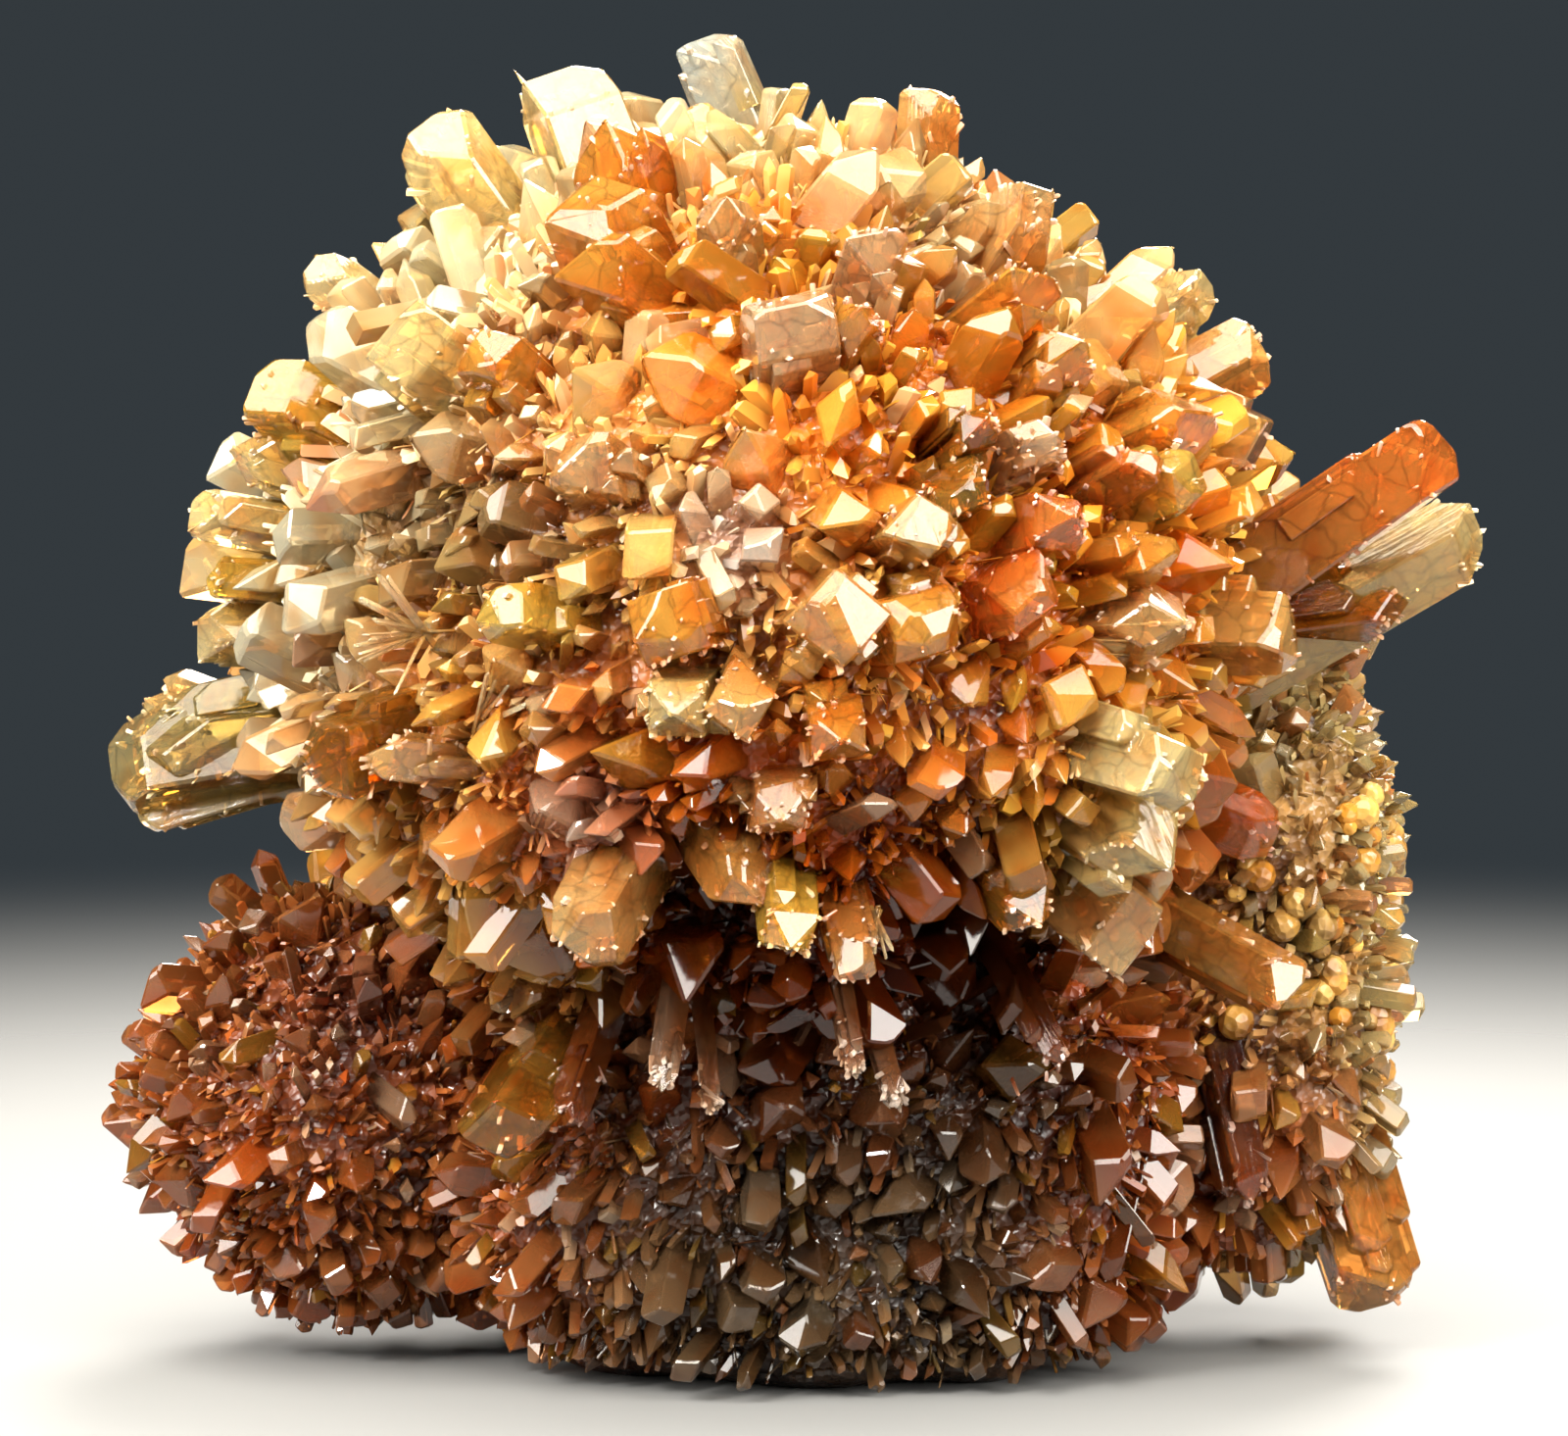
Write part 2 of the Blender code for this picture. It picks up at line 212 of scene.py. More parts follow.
# %% Lumps
BALL_RADIUS = 15.3
BALL_UNDERSIDE = 0.86
LUMPS = {
    "ball": (BALL_CENTRE, Vector((1, 1, 1)) * BALL_RADIUS, 2.0),
    "left_ball": (Vector((-14.9, 3.0, 8.6)), Vector((6.9, 6.9, 6.7)), 2.0),
    "foot": (Vector((0.3, 1.5, 8.5)), Vector((11.4, 9.0, 9.0)), 3.5),
    "crust": (Vector((1.5, 7.5, 17.5)), Vector((16.5, 6.0, 14.0)), 3.0),
    "right_wall": (Vector((13.6, 5.0, 12.8)), Vector((5.4, 6.5, 9.4)), 4.0),
}
LUMP_HEIGHT = 0.5
LUMP_SIZE = 4.5
# across, up, half width, depth
HOLLOWS = (
    (-1.6, -9.6, 2.6, 4.0),
    (6.9, -11.2, 2.2, 3.0),
    (-9.6, 2.4, 3.0, 1.6),
    (8.0, 12.6, 4.5, 1.3),
)


def lump_reach(name, direction):
    """Distance from the middle of a lump to its rough surface."""
    _, radii, power = LUMPS[name]
    reach = sum(abs(d / r) ** power for d, r in zip(direction, radii)) ** (-1 / power)
    if name == "ball":
        if direction.z < 0:
            reach *= 1 - (1 - BALL_UNDERSIDE) * direction.z**2
        if direction.dot(TOWARDS) > 0:
            reach -= hollow_depth(direction)
    rough = noise.noise(direction * reach / LUMP_SIZE + radii)
    return reach + LUMP_HEIGHT * 2 * rough


def hollow_depth(direction):
    """How deep the ball is hollowed where a line from its middle comes out."""
    seen = Vector((direction.dot(ACROSS), direction.dot(UPWARDS))) * BALL_RADIUS
    depth = 0
    for across, up, radius, deepest in HOLLOWS:
        away = (seen - Vector((across, up))).length / radius
        depth += deepest * math.exp(-away * away)
    return depth


print(len(LUMPS), "lumps with", len(HOLLOWS), "hollows in the ball")

# %% [markdown]
# The stain. Creedite itself is clear. Iron in the water stains it from the root up, so one crystal
# goes from orange or red at its foot to pale cream, lilac or clear at its tip, and the stain
# differs from side to side of the cluster. It could be a noise pattern, but then the pale left
# side and the dark underside would fall anywhere. So a few zones, each with a middle and a size,
# hold the local stain, and a place takes a mixture of the zones near it. The dark of the underside
# zones is partly stain and partly painted shade. Small spots of their own colour lie on top. On
# the ball's front the colours are darkened with painted shade where the ball is hollowed.

# %% Stain zones and painted shade
def paint(red, green, blue):
    """A display colour, 0 to 255, as the linear light that Blender's shaders take."""
    linear = []
    for value in (red, green, blue):
        share = value / 255
        linear.append(share / 12.92 if share <= 0.04045 else ((share + 0.055) / 1.055) ** 2.4)
    return Vector(linear)


# middle (across, up, towards), size, colour at the root, colour at the tip, coarseness
ZONES = (
    ((-15.0, 4.0, 3.0), 5.5, paint(249, 230, 178), paint(252, 252, 246), 1.35),
    ((-10.5, 13.0, 3.0), 5.5, paint(247, 222, 160), paint(250, 250, 234), 1.35),
    ((-3.0, 17.0, 2.0), 4.5, paint(247, 212, 132), paint(251, 245, 210), 1.2),
    ((3.0, 9.0, 13.0), 6.5, paint(242, 136, 20), paint(248, 188, 82), 1.15),
    ((10.0, 3.5, 12.0), 5.0, paint(240, 114, 12), paint(249, 172, 62), 1.2),
    ((3.0, -0.5, 17.0), 3.5, paint(241, 150, 42), paint(251, 214, 130), 1.05),
    ((-5.0, 3.0, 15.0), 4.0, paint(232, 160, 78), paint(250, 226, 166), 0.95),
    ((-9.0, -1.0, 12.0), 4.0, paint(216, 128, 56), paint(249, 212, 140), 0.9),
    ((8.5, 13.0, 5.0), 4.0, paint(242, 180, 112), paint(253, 240, 206), 0.85),
    ((14.5, 8.0, 3.0), 4.0, paint(244, 168, 58), paint(250, 214, 122), 1.25),
    ((12.0, -6.0, 10.0), 4.0, paint(240, 146, 40), paint(250, 214, 122), 1.2),
    ((-2.0, -7.0, 13.0), 5.0, paint(170, 64, 6), paint(222, 122, 34), 0.95),
    # Painted shade as well as stain: this row's dark stands partly for the shade in the hollow
    # under the ball's middle
    ((6.0, -10.0, 9.0), 5.0, paint(92, 26, 2), paint(128, 50, 8), 0.95),
    ((15.0, -11.0, 4.0), 4.0, paint(184, 70, 16), paint(222, 128, 56), 0.95),
    # Painted shade as well as stain: this row and the next are darkened partly for the shade on
    # the foot and the ball's underside
    ((3.0, -20.0, 5.0), 6.0, paint(46, 28, 18), paint(112, 92, 74), 1.0),
    ((0.0, -13.5, 7.0), 4.0, paint(90, 32, 4), paint(140, 62, 16), 1.0),
    ((-11.0, -8.0, 6.0), 4.0, paint(190, 116, 50), paint(240, 196, 120), 0.95),
    ((-14.0, -16.0, -2.0), 6.5, paint(134, 66, 32), paint(184, 116, 70), 0.72),
    ((19.0, -9.0, -6.0), 5.0, paint(166, 140, 96), paint(210, 194, 150), 0.6),
    ((14.0, -18.0, 2.0), 4.0, paint(132, 54, 20), paint(200, 116, 62), 0.85),
    ((0.0, -2.0, -16.0), 11.0, paint(176, 122, 64), paint(230, 194, 128), 0.85),
    ((0.0, 12.0, -12.0), 7.0, paint(230, 146, 62), paint(248, 208, 132), 1.05),
)
# Small spots of their own colour: middle, size, colour at the root, colour at the tip
SPOTS = (
    ((-1.1, 2.4, 15.5), 1.7, paint(196, 156, 132), paint(240, 232, 230)),
    ((3.6, 3.0, 15.8), 0.9, paint(214, 196, 170), paint(252, 250, 244)),
    ((-5.7, -6.7, 13.6), 1.5, paint(200, 158, 120), paint(244, 236, 224)),
    ((-5.5, -10.2, 11.0), 1.2, paint(200, 150, 104), paint(242, 232, 216)),
    ((-8.6, 5.4, 12.5), 0.9, paint(222, 66, 18), paint(238, 104, 44)),
    ((1.5, 5.0, 15.2), 0.7, paint(226, 170, 36), paint(246, 216, 92)),
    ((-8.0, 2.5, 13.5), 1.8, paint(112, 56, 40), paint(176, 118, 92)),
    ((8.5, 12.5, 10.0), 2.2, paint(206, 134, 100), paint(246, 226, 212)),
    ((-13.5, -12.0, 0.0), 2.6, paint(104, 52, 38), paint(158, 98, 74)),
)
# How much the ball's hollows darken the colours: painted shade
HOLLOW_PAINTED_SHADE = 0.30
ROOT_DEEPER = (1.0, 0.86, 0.58)
TIP_DEEPER = (1.0, 0.92, 0.70)


def stain(place):
    """Colours at the root and the tip of a crystal that stands at a place, with painted shade, and
    its coarseness.
    """
    seen = as_seen(place)
    total, root, tip, coarse = 1e-9, Vector((0, 0, 0)), Vector((0, 0, 0)), 0
    for middle, size, low, high, coarseness in ZONES:
        weight = math.exp(-((seen - Vector(middle)).length / size) ** 2)
        total += weight
        root += low * weight
        tip += high * weight
        coarse += coarseness * weight
    root = Vector(c * deep / total for c, deep in zip(root, ROOT_DEEPER))
    tip = Vector(c * deep / total for c, deep in zip(tip, TIP_DEEPER))
    for middle, size, low, high in SPOTS:
        weight = math.exp(-((seen - Vector(middle)).length / size) ** 2)
        root = root.lerp(low, weight)
        tip = tip.lerp(high, weight)
    # Painted shade: on the ball's front the colours darken with the depth of its hollows, where
    # shade falls
    shade = 1
    if seen.z > 0:
        shade -= min(hollow_depth((place - BALL_CENTRE).normalized()) * HOLLOW_PAINTED_SHADE, 0.85)
    return root * shade, tip * shade, coarse / total


# %% [markdown]
# The glassy material. Light goes through a creedite crystal and takes up its stain on the way.
# Real ones are never even: clouds of deeper stain, healed cracks like veils and grooves along the
# faces break the colour up. Separate flakes inside each crystal would be truer still, but
# thousands of crystals can't carry them, so nodes stand for them: noise for the clouds, the
# borders of cells for the cracks, and for the grooves noise squeezed sideways in the crystal's own
# UV map, in which V runs along the crystal.

# %% Clouds, cracks and grooves
ABSORPTION = 260.0
CLOUD_COLOUR = (0.92, 0.48, 0.15, 1)
CLOUD_SCALE = 700.0
CLOUD_EDGES = (0.46, 0.64)
CRACK_SCALE = 900.0
CRACK_WOBBLE = 1.2 * MM
CRACK_WIDTH = 0.06
CRACK_SHADE = 0.62
GROOVE_SQUEEZE = (9.0, 1.3, 1.0)
GROOVE_DEPTH = 0.06 * MM


def clouded_stain(tree, place, strength, detail):
    """The Tint attribute under clouds of deeper stain; gives the clouds and the colour."""
    tint = shader_node(tree, "ShaderNodeAttribute", attribute_name="Tint")
    clouds = shader_node(tree, "ShaderNodeTexNoise", scale=CLOUD_SCALE, detail=detail)
    amount = shader_node(
        tree, "ShaderNodeMapRange", from_min=CLOUD_EDGES[0], from_max=CLOUD_EDGES[1],
        to_min=0.0, to_max=strength,
    )
    stained = shader_node(
        tree, "ShaderNodeMix", data_type="RGBA", blend_type="MULTIPLY", input_7=CLOUD_COLOUR
    )
    tree.links.new(place.outputs["Object"], clouds.inputs["Vector"])
    tree.links.new(clouds.outputs["Fac"], amount.inputs["Value"])
    tree.links.new(amount.outputs["Result"], stained.inputs["Factor"])
    tree.links.new(tint.outputs["Color"], stained.inputs[6])
    return clouds, stained.outputs[2]


def cracked_stain(tree, place, clouds, colour):
    """A colour darkened along healed cracks, which the clouds bend."""
    wobble = shader_node(
        tree, "ShaderNodeVectorMath", operation="MULTIPLY_ADD", input_1=(CRACK_WOBBLE,) * 3
    )
    cracks = shader_node(
        tree, "ShaderNodeTexVoronoi", feature="DISTANCE_TO_EDGE", scale=CRACK_SCALE
    )
    veil = shader_node(tree, "ShaderNodeMapRange", from_max=CRACK_WIDTH, to_min=CRACK_SHADE)
    veiled = shader_node(
        tree, "ShaderNodeMix", data_type="RGBA", blend_type="MULTIPLY", input_0=1.0
    )
    tree.links.new(clouds.outputs["Color"], wobble.inputs[0])
    tree.links.new(place.outputs["Object"], wobble.inputs[2])
    tree.links.new(wobble.outputs["Vector"], cracks.inputs["Vector"])
    tree.links.new(cracks.outputs["Distance"], veil.inputs["Value"])
    tree.links.new(colour, veiled.inputs[6])
    tree.links.new(veil.outputs["Result"], veiled.inputs[7])
    return veiled.outputs[2]


def groove_faces(tree, shader, roughness):
    """Fine grooves along the crystal, in its gloss and in its relief."""
    uv = shader_node(tree, "ShaderNodeUVMap", uv_map="Grain")
    squeeze = shader_node(tree, "ShaderNodeMapping", scale=GROOVE_SQUEEZE)
    streaks = shader_node(tree, "ShaderNodeTexNoise", scale=1.0, detail=3.0)
    gloss = shader_node(
        tree, "ShaderNodeMapRange", from_min=0.35, from_max=0.7,
        to_min=roughness * 0.7, to_max=roughness * 1.5,
    )
    grooves = shader_node(tree, "ShaderNodeBump", strength=0.16, distance=GROOVE_DEPTH)
    tree.links.new(uv.outputs["UV"], squeeze.inputs["Vector"])
    tree.links.new(squeeze.outputs["Vector"], streaks.inputs["Vector"])
    tree.links.new(streaks.outputs["Fac"], gloss.inputs["Value"])
    tree.links.new(gloss.outputs["Result"], shader.inputs["Roughness"])
    tree.links.new(streaks.outputs["Fac"], grooves.inputs["Height"])
    tree.links.new(grooves.outputs["Normal"], shader.inputs["Normal"])


# %% [markdown]
# Four grades of crystal share that material. The clear grade lets nearly all light through and
# soaks it up with depth, which an absorption volume does best. The stained grade is cloudier, with
# a thin wet coat of gloss. Small crystals leave out cracks and grooves, which nobody would see on
# them, and pass less light: they look just as glassy, and a picture of thousands of them is ready
# much sooner.

# %% Crystal materials
def crystal_material(name, clear, roughness, gloss_coat, clouded, absorb=None, fine=False):
    """A stained glassy crystal: clear is the share of light that passes through it."""
    material, tree, shader = new_material(
        name, transmission_weight=clear, ior=1.47, roughness=roughness,
        coat_weight=gloss_coat, coat_roughness=0.04,
    )
    place = shader_node(tree, "ShaderNodeTexCoord")
    clouds, colour = clouded_stain(tree, place, clouded, 1.0 if fine else 2.0)
    if not fine:
        colour = cracked_stain(tree, place, clouds, colour)
        groove_faces(tree, shader, roughness)
    tree.links.new(colour, shader.inputs["Base Color"])
    if absorb:
        soak = shader_node(
            tree, "ShaderNodeVolumeAbsorption", input_0=(*absorb, 1), density=ABSORPTION
        )
        tree.links.new(soak.outputs["Volume"], tree.nodes["Material Output"].inputs["Volume"])
    return material


GLASSY = crystal_material("clear creedite", 0.92, 0.06, 0.0, 0.55, absorb=(1.0, 0.78, 0.42))
STAINED = crystal_material("stained creedite", 0.80, 0.09, 0.25, 0.5)
MIDDLING = crystal_material("middling creedite", 0.70, 0.08, 0.2, 0.5, fine=True)
FINE = crystal_material("fine creedite", 0.48, 0.09, 0.0, 0.6, fine=True)
print("crystal materials:", GLASSY.name, STAINED.name, MIDDLING.name, FINE.name)

# %% [markdown]
# The druse is the skin that everything grows from: millions of crystals too small to see singly,
# like damp brown sugar. They could be scattered as shapes, but at this size a pattern does as
# well. It lets no light through, so it takes the plain shader, with fine cells for the grains,
# each of its own gloss, and clouds of darker colour.

# %% Druse material
GRAIN_SCALE = 3200.0
SUGAR_DARK = (0.25, 0.14, 0.10, 1)
SUGAR_BRIGHT = (1.25, 1.1, 0.95, 1)

DRUSE, tree, shader = new_material("sugary druse")
place = shader_node(tree, "ShaderNodeTexCoord")
tint = shader_node(tree, "ShaderNodeAttribute", attribute_name="Tint")
grains = shader_node(tree, "ShaderNodeTexVoronoi", scale=GRAIN_SCALE)
clouds = shader_node(tree, "ShaderNodeTexNoise", scale=420.0, detail=6.0)
shade = shader_node(tree, "ShaderNodeValToRGB")
sugar = ((0.35, SUGAR_DARK), (0.68, SUGAR_BRIGHT))
for stop, (position, colour) in zip(shade.color_ramp.elements, sugar):
    stop.position, stop.color = position, colour
speckle = shader_node(tree, "ShaderNodeMix", data_type="RGBA", blend_type="MULTIPLY", input_0=1.0)
sparkle = shader_node(tree, "ShaderNodeMapRange", to_min=0.12, to_max=0.6)
relief = shader_node(tree, "ShaderNodeBump", strength=0.8, distance=0.15 * MM)
for start, end in (
    (place.outputs["Object"], grains.inputs["Vector"]),
    (place.outputs["Object"], clouds.inputs["Vector"]),
    (clouds.outputs["Fac"], shade.inputs["Fac"]),
    (tint.outputs["Color"], speckle.inputs[6]),
    (shade.outputs["Color"], speckle.inputs[7]),
    (speckle.outputs[2], shader.inputs["Base Color"]),
    (grains.outputs["Color"], sparkle.inputs["Value"]),
    (sparkle.outputs["Result"], shader.inputs["Roughness"]),
    (grains.outputs["Distance"], relief.inputs["Height"]),
    (relief.outputs["Normal"], shader.inputs["Normal"]),
):
    tree.links.new(start, end)
print(DRUSE.name, "has", len(tree.nodes), "nodes")

# %% [markdown]
# The skin, first as separate lumps. Each starts as a cube, cut into a grid, and its points are
# pushed out to the lump's rough surface. A cube's grid is more even than a globe's, which crowds
# at the poles.

# %% Lumps as meshes
SKIN_CUTS = 26


def new_object(name, mesh, material):
    made = bpy.data.objects.new(name, mesh)
    bpy.context.scene.collection.objects.link(made)
    made.data.materials.append(material)
    return made


def slice_off(bm, place, normal):
    """Cuts away what lies beyond a plane, and closes the cut with a face."""
    geometry = bm.verts[:] + bm.edges[:] + bm.faces[:]
    cut = bmesh.ops.bisect_plane(
        bm, geom=geometry, dist=1e-4, plane_co=place, plane_no=normal, clear_outer=True
    )
    rim = [e for e in cut["geom_cut"] if isinstance(e, bmesh.types.BMEdge)]
    if rim:
        bmesh.ops.holes_fill(bm, edges=rim)


skin_bm = bmesh.new()
for name, (centre, *_) in LUMPS.items():
    bm = bmesh.new()
    bmesh.ops.create_cube(bm, size=2)
    bmesh.ops.subdivide_edges(bm, edges=bm.edges, cuts=SKIN_CUTS, use_grid_fill=True)
    for vert in bm.verts:
        direction = Vector([math.tan(c * math.pi / 4) for c in vert.co]).normalized()
        vert.co = centre + direction * lump_reach(name, direction)
    slice_off(bm, Vector((0, 0, 0)), Vector((0, 0, -1)))
    lump_mesh = bpy.data.meshes.new(name)
    bm.to_mesh(lump_mesh)
    bm.free()
    skin_bm.from_mesh(lump_mesh)
print("lumps of", len(skin_bm.faces), "faces")

# %% [markdown]
# One skin. On the real cluster the lumps have grown into each other. A boolean union could join
# them, but it leaves long thin faces along the seams. A voxel remesh makes one closed skin with
# even faces, and each face will later be a possible place for a crystal. A small cell pattern then
# roughens the skin. It takes the dark end of the local stain, and is darkened further with painted
# shade, because it lies deep between the crystals.

# %% Skin
SKIN_VOXEL = 0.40
GRAIN_HEIGHT = 0.28
GRAIN_SIZE = 0.85
GRAIN_LEVEL = 0.3
SKIN_PALE = 0.3
# Painted shade on the skin, for lying deep between the crystals
SKIN_PAINTED_SHADE = 0.6

skin_mesh = bpy.data.meshes.new("skin")
skin_bm.to_mesh(skin_mesh)
skin_bm.free()
skin = new_object("druse_skin", skin_mesh, DRUSE)
remesh = skin.modifiers.new("join", "REMESH")
remesh.mode = "VOXEL"
remesh.voxel_size = SKIN_VOXEL
joined = skin.evaluated_get(bpy.context.evaluated_depsgraph_get())
skin_mesh = bpy.data.meshes.new_from_object(joined)
skin.modifiers.clear()
skin.data = skin_mesh

skin_bm = bmesh.new()
skin_bm.from_mesh(skin_mesh)
seeds = []
for face in skin_bm.faces:
    seeds.append((face.calc_center_median(), face.normal.copy()))
# Sorted, so that the cluster grows the same way in whatever order the remesh gives its faces
seeds.sort(key=lambda seed: tuple(seed[0]))
for vert in skin_bm.verts:
    if vert.co.z > SKIN_VOXEL:
        near, _ = noise.voronoi(vert.co / GRAIN_SIZE)
        vert.co += vert.normal * GRAIN_HEIGHT * (near[1] - near[0] - GRAIN_LEVEL) * 2
skin_bm.to_mesh(skin_mesh)
skin_bm.free()
tints = skin_mesh.color_attributes.new("Tint", "FLOAT_COLOR", "POINT")
colours = []
for vert in skin_mesh.vertices:
    root, tip, _ = stain(vert.co)
    # The root end of the stain, darkened with painted shade for the depth between the crystals
    colours += [*(root.lerp(tip, SKIN_PALE) * SKIN_PAINTED_SHADE), 1]
tints.data.foreach_set("color", colours)
skin_mesh.transform(Matrix.Scale(MM, 4))
print("skin of", len(skin_mesh.polygons), "faces and as many places for crystals")

# %% [markdown]
# Crystal shapes. A creedite crystal is a four-sided prism that ends in sloping faces. It could be
# drawn vertex by vertex, but it is easier to do what growth does, and let planes decide: each form
# is a cube made long, narrowed a little towards its tip, and cut by a few planes. Fine bevels
# catch the light on the larger ones. The tip is at the origin and the crystal hangs below it, so
# it is placed by its tip. An end is a list of cuts: compass angle, slope, and how far the cut
# stands back from the tip.

# %% Crystal forms
POINT = ((40, 52, 0.0), (140, 50, 0.05), (222, 55, 0.0), (318, 49, 0.08))
ROOF = ((90, 46, 0.0), (270, 50, 0.0), (0, 30, 0.30))
CHISEL = ((75, 60, 0.0), (200, 26, 0.1), (310, 38, 0.25))
CLEAVED = ((20, 16, 0.0), (130, 42, 0.45), (250, 46, 0.5))
SPEAR = ((45, 68, 0.0), (135, 65, 0.03), (225, 69, 0.0), (315, 64, 0.05))
TAPER = 0.9
DIAMOND_SIZE = 0.82
FORM_LENGTH = 4.0
FORM_BEVEL = 0.04
SHARD_LENGTH = 9.0


def crystal_form(end, thickness, length, bevel, taper=TAPER, rhombic=True):
    """A unit-wide crystal with its tip at the origin, pointing up."""
    bm = bmesh.new()
    bmesh.ops.create_cube(bm, size=1)
    if rhombic:
        eighth = Matrix.Rotation(math.radians(45), 3, "Z")
        bmesh.ops.rotate(bm, cent=(0, 0, 0), matrix=eighth, verts=bm.verts)
        bmesh.ops.scale(bm, vec=(DIAMOND_SIZE, DIAMOND_SIZE, 1), verts=bm.verts)
    bmesh.ops.scale(bm, vec=(1, thickness, length), verts=bm.verts)
    bmesh.ops.translate(bm, vec=(0, 0, -length / 2), verts=bm.verts)
    upper = [vert for vert in bm.verts if vert.co.z > -length / 2]
    bmesh.ops.scale(bm, vec=(taper, taper, 1), verts=upper)
    for compass, slope, back in end:
        around, tilt = math.radians(compass), math.radians(slope)
        sideways = Vector((math.cos(around), math.sin(around), 0))
        normal = sideways * math.sin(tilt) + Vector((0, 0, math.cos(tilt)))
        slice_off(bm, sideways * back / 2, normal)
    if bevel:
        bmesh.ops.bevel(
            bm, geom=bm.edges[:], offset=bevel, affect="EDGES", segments=1, profile=0.5,
            material=-1,
        )
    bmesh.ops.recalc_face_normals(bm, faces=bm.faces)
    grain = bm.loops.layers.uv.new("Grain")
    for face in bm.faces:
        level = Vector((0, 0, 1)).cross(face.normal)
        for loop in face.loops:
            corner = loop.vert.co
            sideways = corner.dot(level.normalized()) if level.length > 0.2 else corner.x
            loop[grain].uv = (sideways, corner.z)
    form = bpy.data.meshes.new("form")
    bm.to_mesh(form)
    bm.free()
    form.color_attributes.new("Tint", "FLOAT_COLOR", "POINT")
    return form


ENDS = (POINT, ROOF, CHISEL, CLEAVED, SPEAR)
FORMS = [
    crystal_form(end, thick, FORM_LENGTH, FORM_BEVEL)
    for end in ENDS for thick in (0.62, 0.9)
]
GRAINS = [
    crystal_form(end, thick, FORM_LENGTH, 0)
    for end in ENDS for thick in (0.5, 0.8)
]
SHARDS = [
    crystal_form(end, thick, SHARD_LENGTH, 0, taper=0.7)
    for end in (SPEAR, CHISEL) for thick in (0.4, 0.7)
]
print("forms have", sorted({len(f.polygons) for f in FORMS + GRAINS}), "faces")


# %% [markdown]
# Placing. A copy of a form is turned so that it points along a direction and scaled to its width.
# Its colour runs from tip to root, a little further along on one flank, and below that it is
# darkened with painted shade, for the gap it stands in. Each vertex keeps its colour in an
# attribute, because thousands of crystals share one material. All the crystals of one kind end up
# in one mesh: instances would be lighter, but a finished part is made of real meshes.

# %% Placing a crystal
def facing(direction, turn):
    """A turn that points a form along a direction and spins it about its length."""
    side = ACROSS - direction * ACROSS.dot(direction)
    if side.length < 0.1:
        side = UPWARDS - direction * UPWARDS.dot(direction)
    side.normalize()
    frame_axes = Matrix((side, direction.cross(side), direction)).transposed().to_4x4()
    return frame_axes @ Matrix.Rotation(math.radians(turn), 4, "Z")


FLANK = 0.4
STAIN_CURVE = 0.8
# How dark the painted shade in the gap below a crystal gets
GAP_PAINTED_SHADE = 0.5


def stamp(bm, form, tip, direction, size, turn, root_colour, tip_colour, fade, dice):
    """Adds a copy of a form to a bmesh. fade is how far from the tip the stain is full."""
    copy = form.copy()
    count = len(copy.vertices)
    places = np.empty(count * 3)
    copy.vertices.foreach_get("co", places)
    depth = -places.reshape(-1, 3)[:, 2:]
    flank = places.reshape(-1, 3)[:, :1] * FLANK
    share = np.clip(depth * size.z / fade + flank, 0, 1) ** STAIN_CURVE
    colours = np.ones((count, 4))
    colours[:, :3] = np.array(tip_colour) * (1 - share) + np.array(root_colour) * share
    # Painted shade: below the full stain the colour darkens towards the root, where the crystal
    # stands in the shaded gap
    colours[:, :3] *= 1 - GAP_PAINTED_SHADE * np.clip(depth * size.z / fade - 1, 0, 1)
    copy.color_attributes["Tint"].data.foreach_set("color", colours.ravel())
    grain = np.empty(len(copy.loops) * 2)
    copy.uv_layers["Grain"].data.foreach_get("uv", grain)
    grain += np.tile((dice.uniform(0, 50), dice.uniform(0, 50)), len(copy.loops))
    copy.uv_layers["Grain"].data.foreach_set("uv", grain)
    placing = Matrix.Translation(tip) @ facing(direction, turn) @ Matrix.Diagonal((*size, 1))
    copy.transform(placing)
    bm.from_mesh(copy)
    bpy.data.meshes.remove(copy)
    return placing


def finish_piece(name, bm, material):
    """Turns a bmesh in millimetres into a finished object that stands for the solid."""
    bmesh.ops.scale(bm, vec=(MM, MM, MM), verts=bm.verts)
    mesh = bpy.data.meshes.new(name)
    bm.to_mesh(mesh)
    bm.free()
    made = new_object(name, mesh, material)
    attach(made, "root")
    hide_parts(NODE)
    triangles = sum(len(face.vertices) - 2 for face in mesh.polygons)
    print(name, "has", triangles, "triangles")
    return made


# %% [markdown]
# The large crystals give the cluster its outline and its character. Their colours are a short
# palette of stains, each with a root, a tip and a grade: amber and pale ones are clear, the
# rest cloudy.

# %% Palette
PALETTE = {
    "cream": (paint(247, 196, 92), paint(251, 228, 164), "stained"),
    "yellow": (paint(240, 172, 48), paint(248, 206, 98), "stained"),
    "orange": (paint(238, 116, 12), paint(247, 178, 74), "stained"),
    "red": (paint(232, 92, 14), paint(243, 150, 66), "stained"),
    "ember": (paint(244, 160, 76), paint(242, 136, 54), "stained"),
    "peach": (paint(240, 138, 38), paint(247, 192, 108), "stained"),
    "pale": (paint(246, 204, 104), paint(246, 232, 172), "glassy"),
    "amber": (paint(230, 126, 22), paint(244, 184, 80), "glassy"),
    "lilac": (paint(238, 142, 48), paint(244, 206, 154), "stained"),
    "clear": (paint(238, 148, 50), paint(246, 204, 136), "stained"),
    "smoky": (paint(208, 112, 28), paint(228, 172, 104), "stained"),
    "silver": (paint(222, 150, 82), paint(240, 222, 198), "stained"),
    "pearl": (paint(158, 92, 46), paint(218, 196, 168), "stained"),
    "brown": (paint(116, 44, 8), paint(186, 104, 48), "stained"),
    "icy": (paint(238, 204, 130), paint(214, 222, 214), "stained"),
}
print(len(PALETTE), "stains:", *PALETTE)
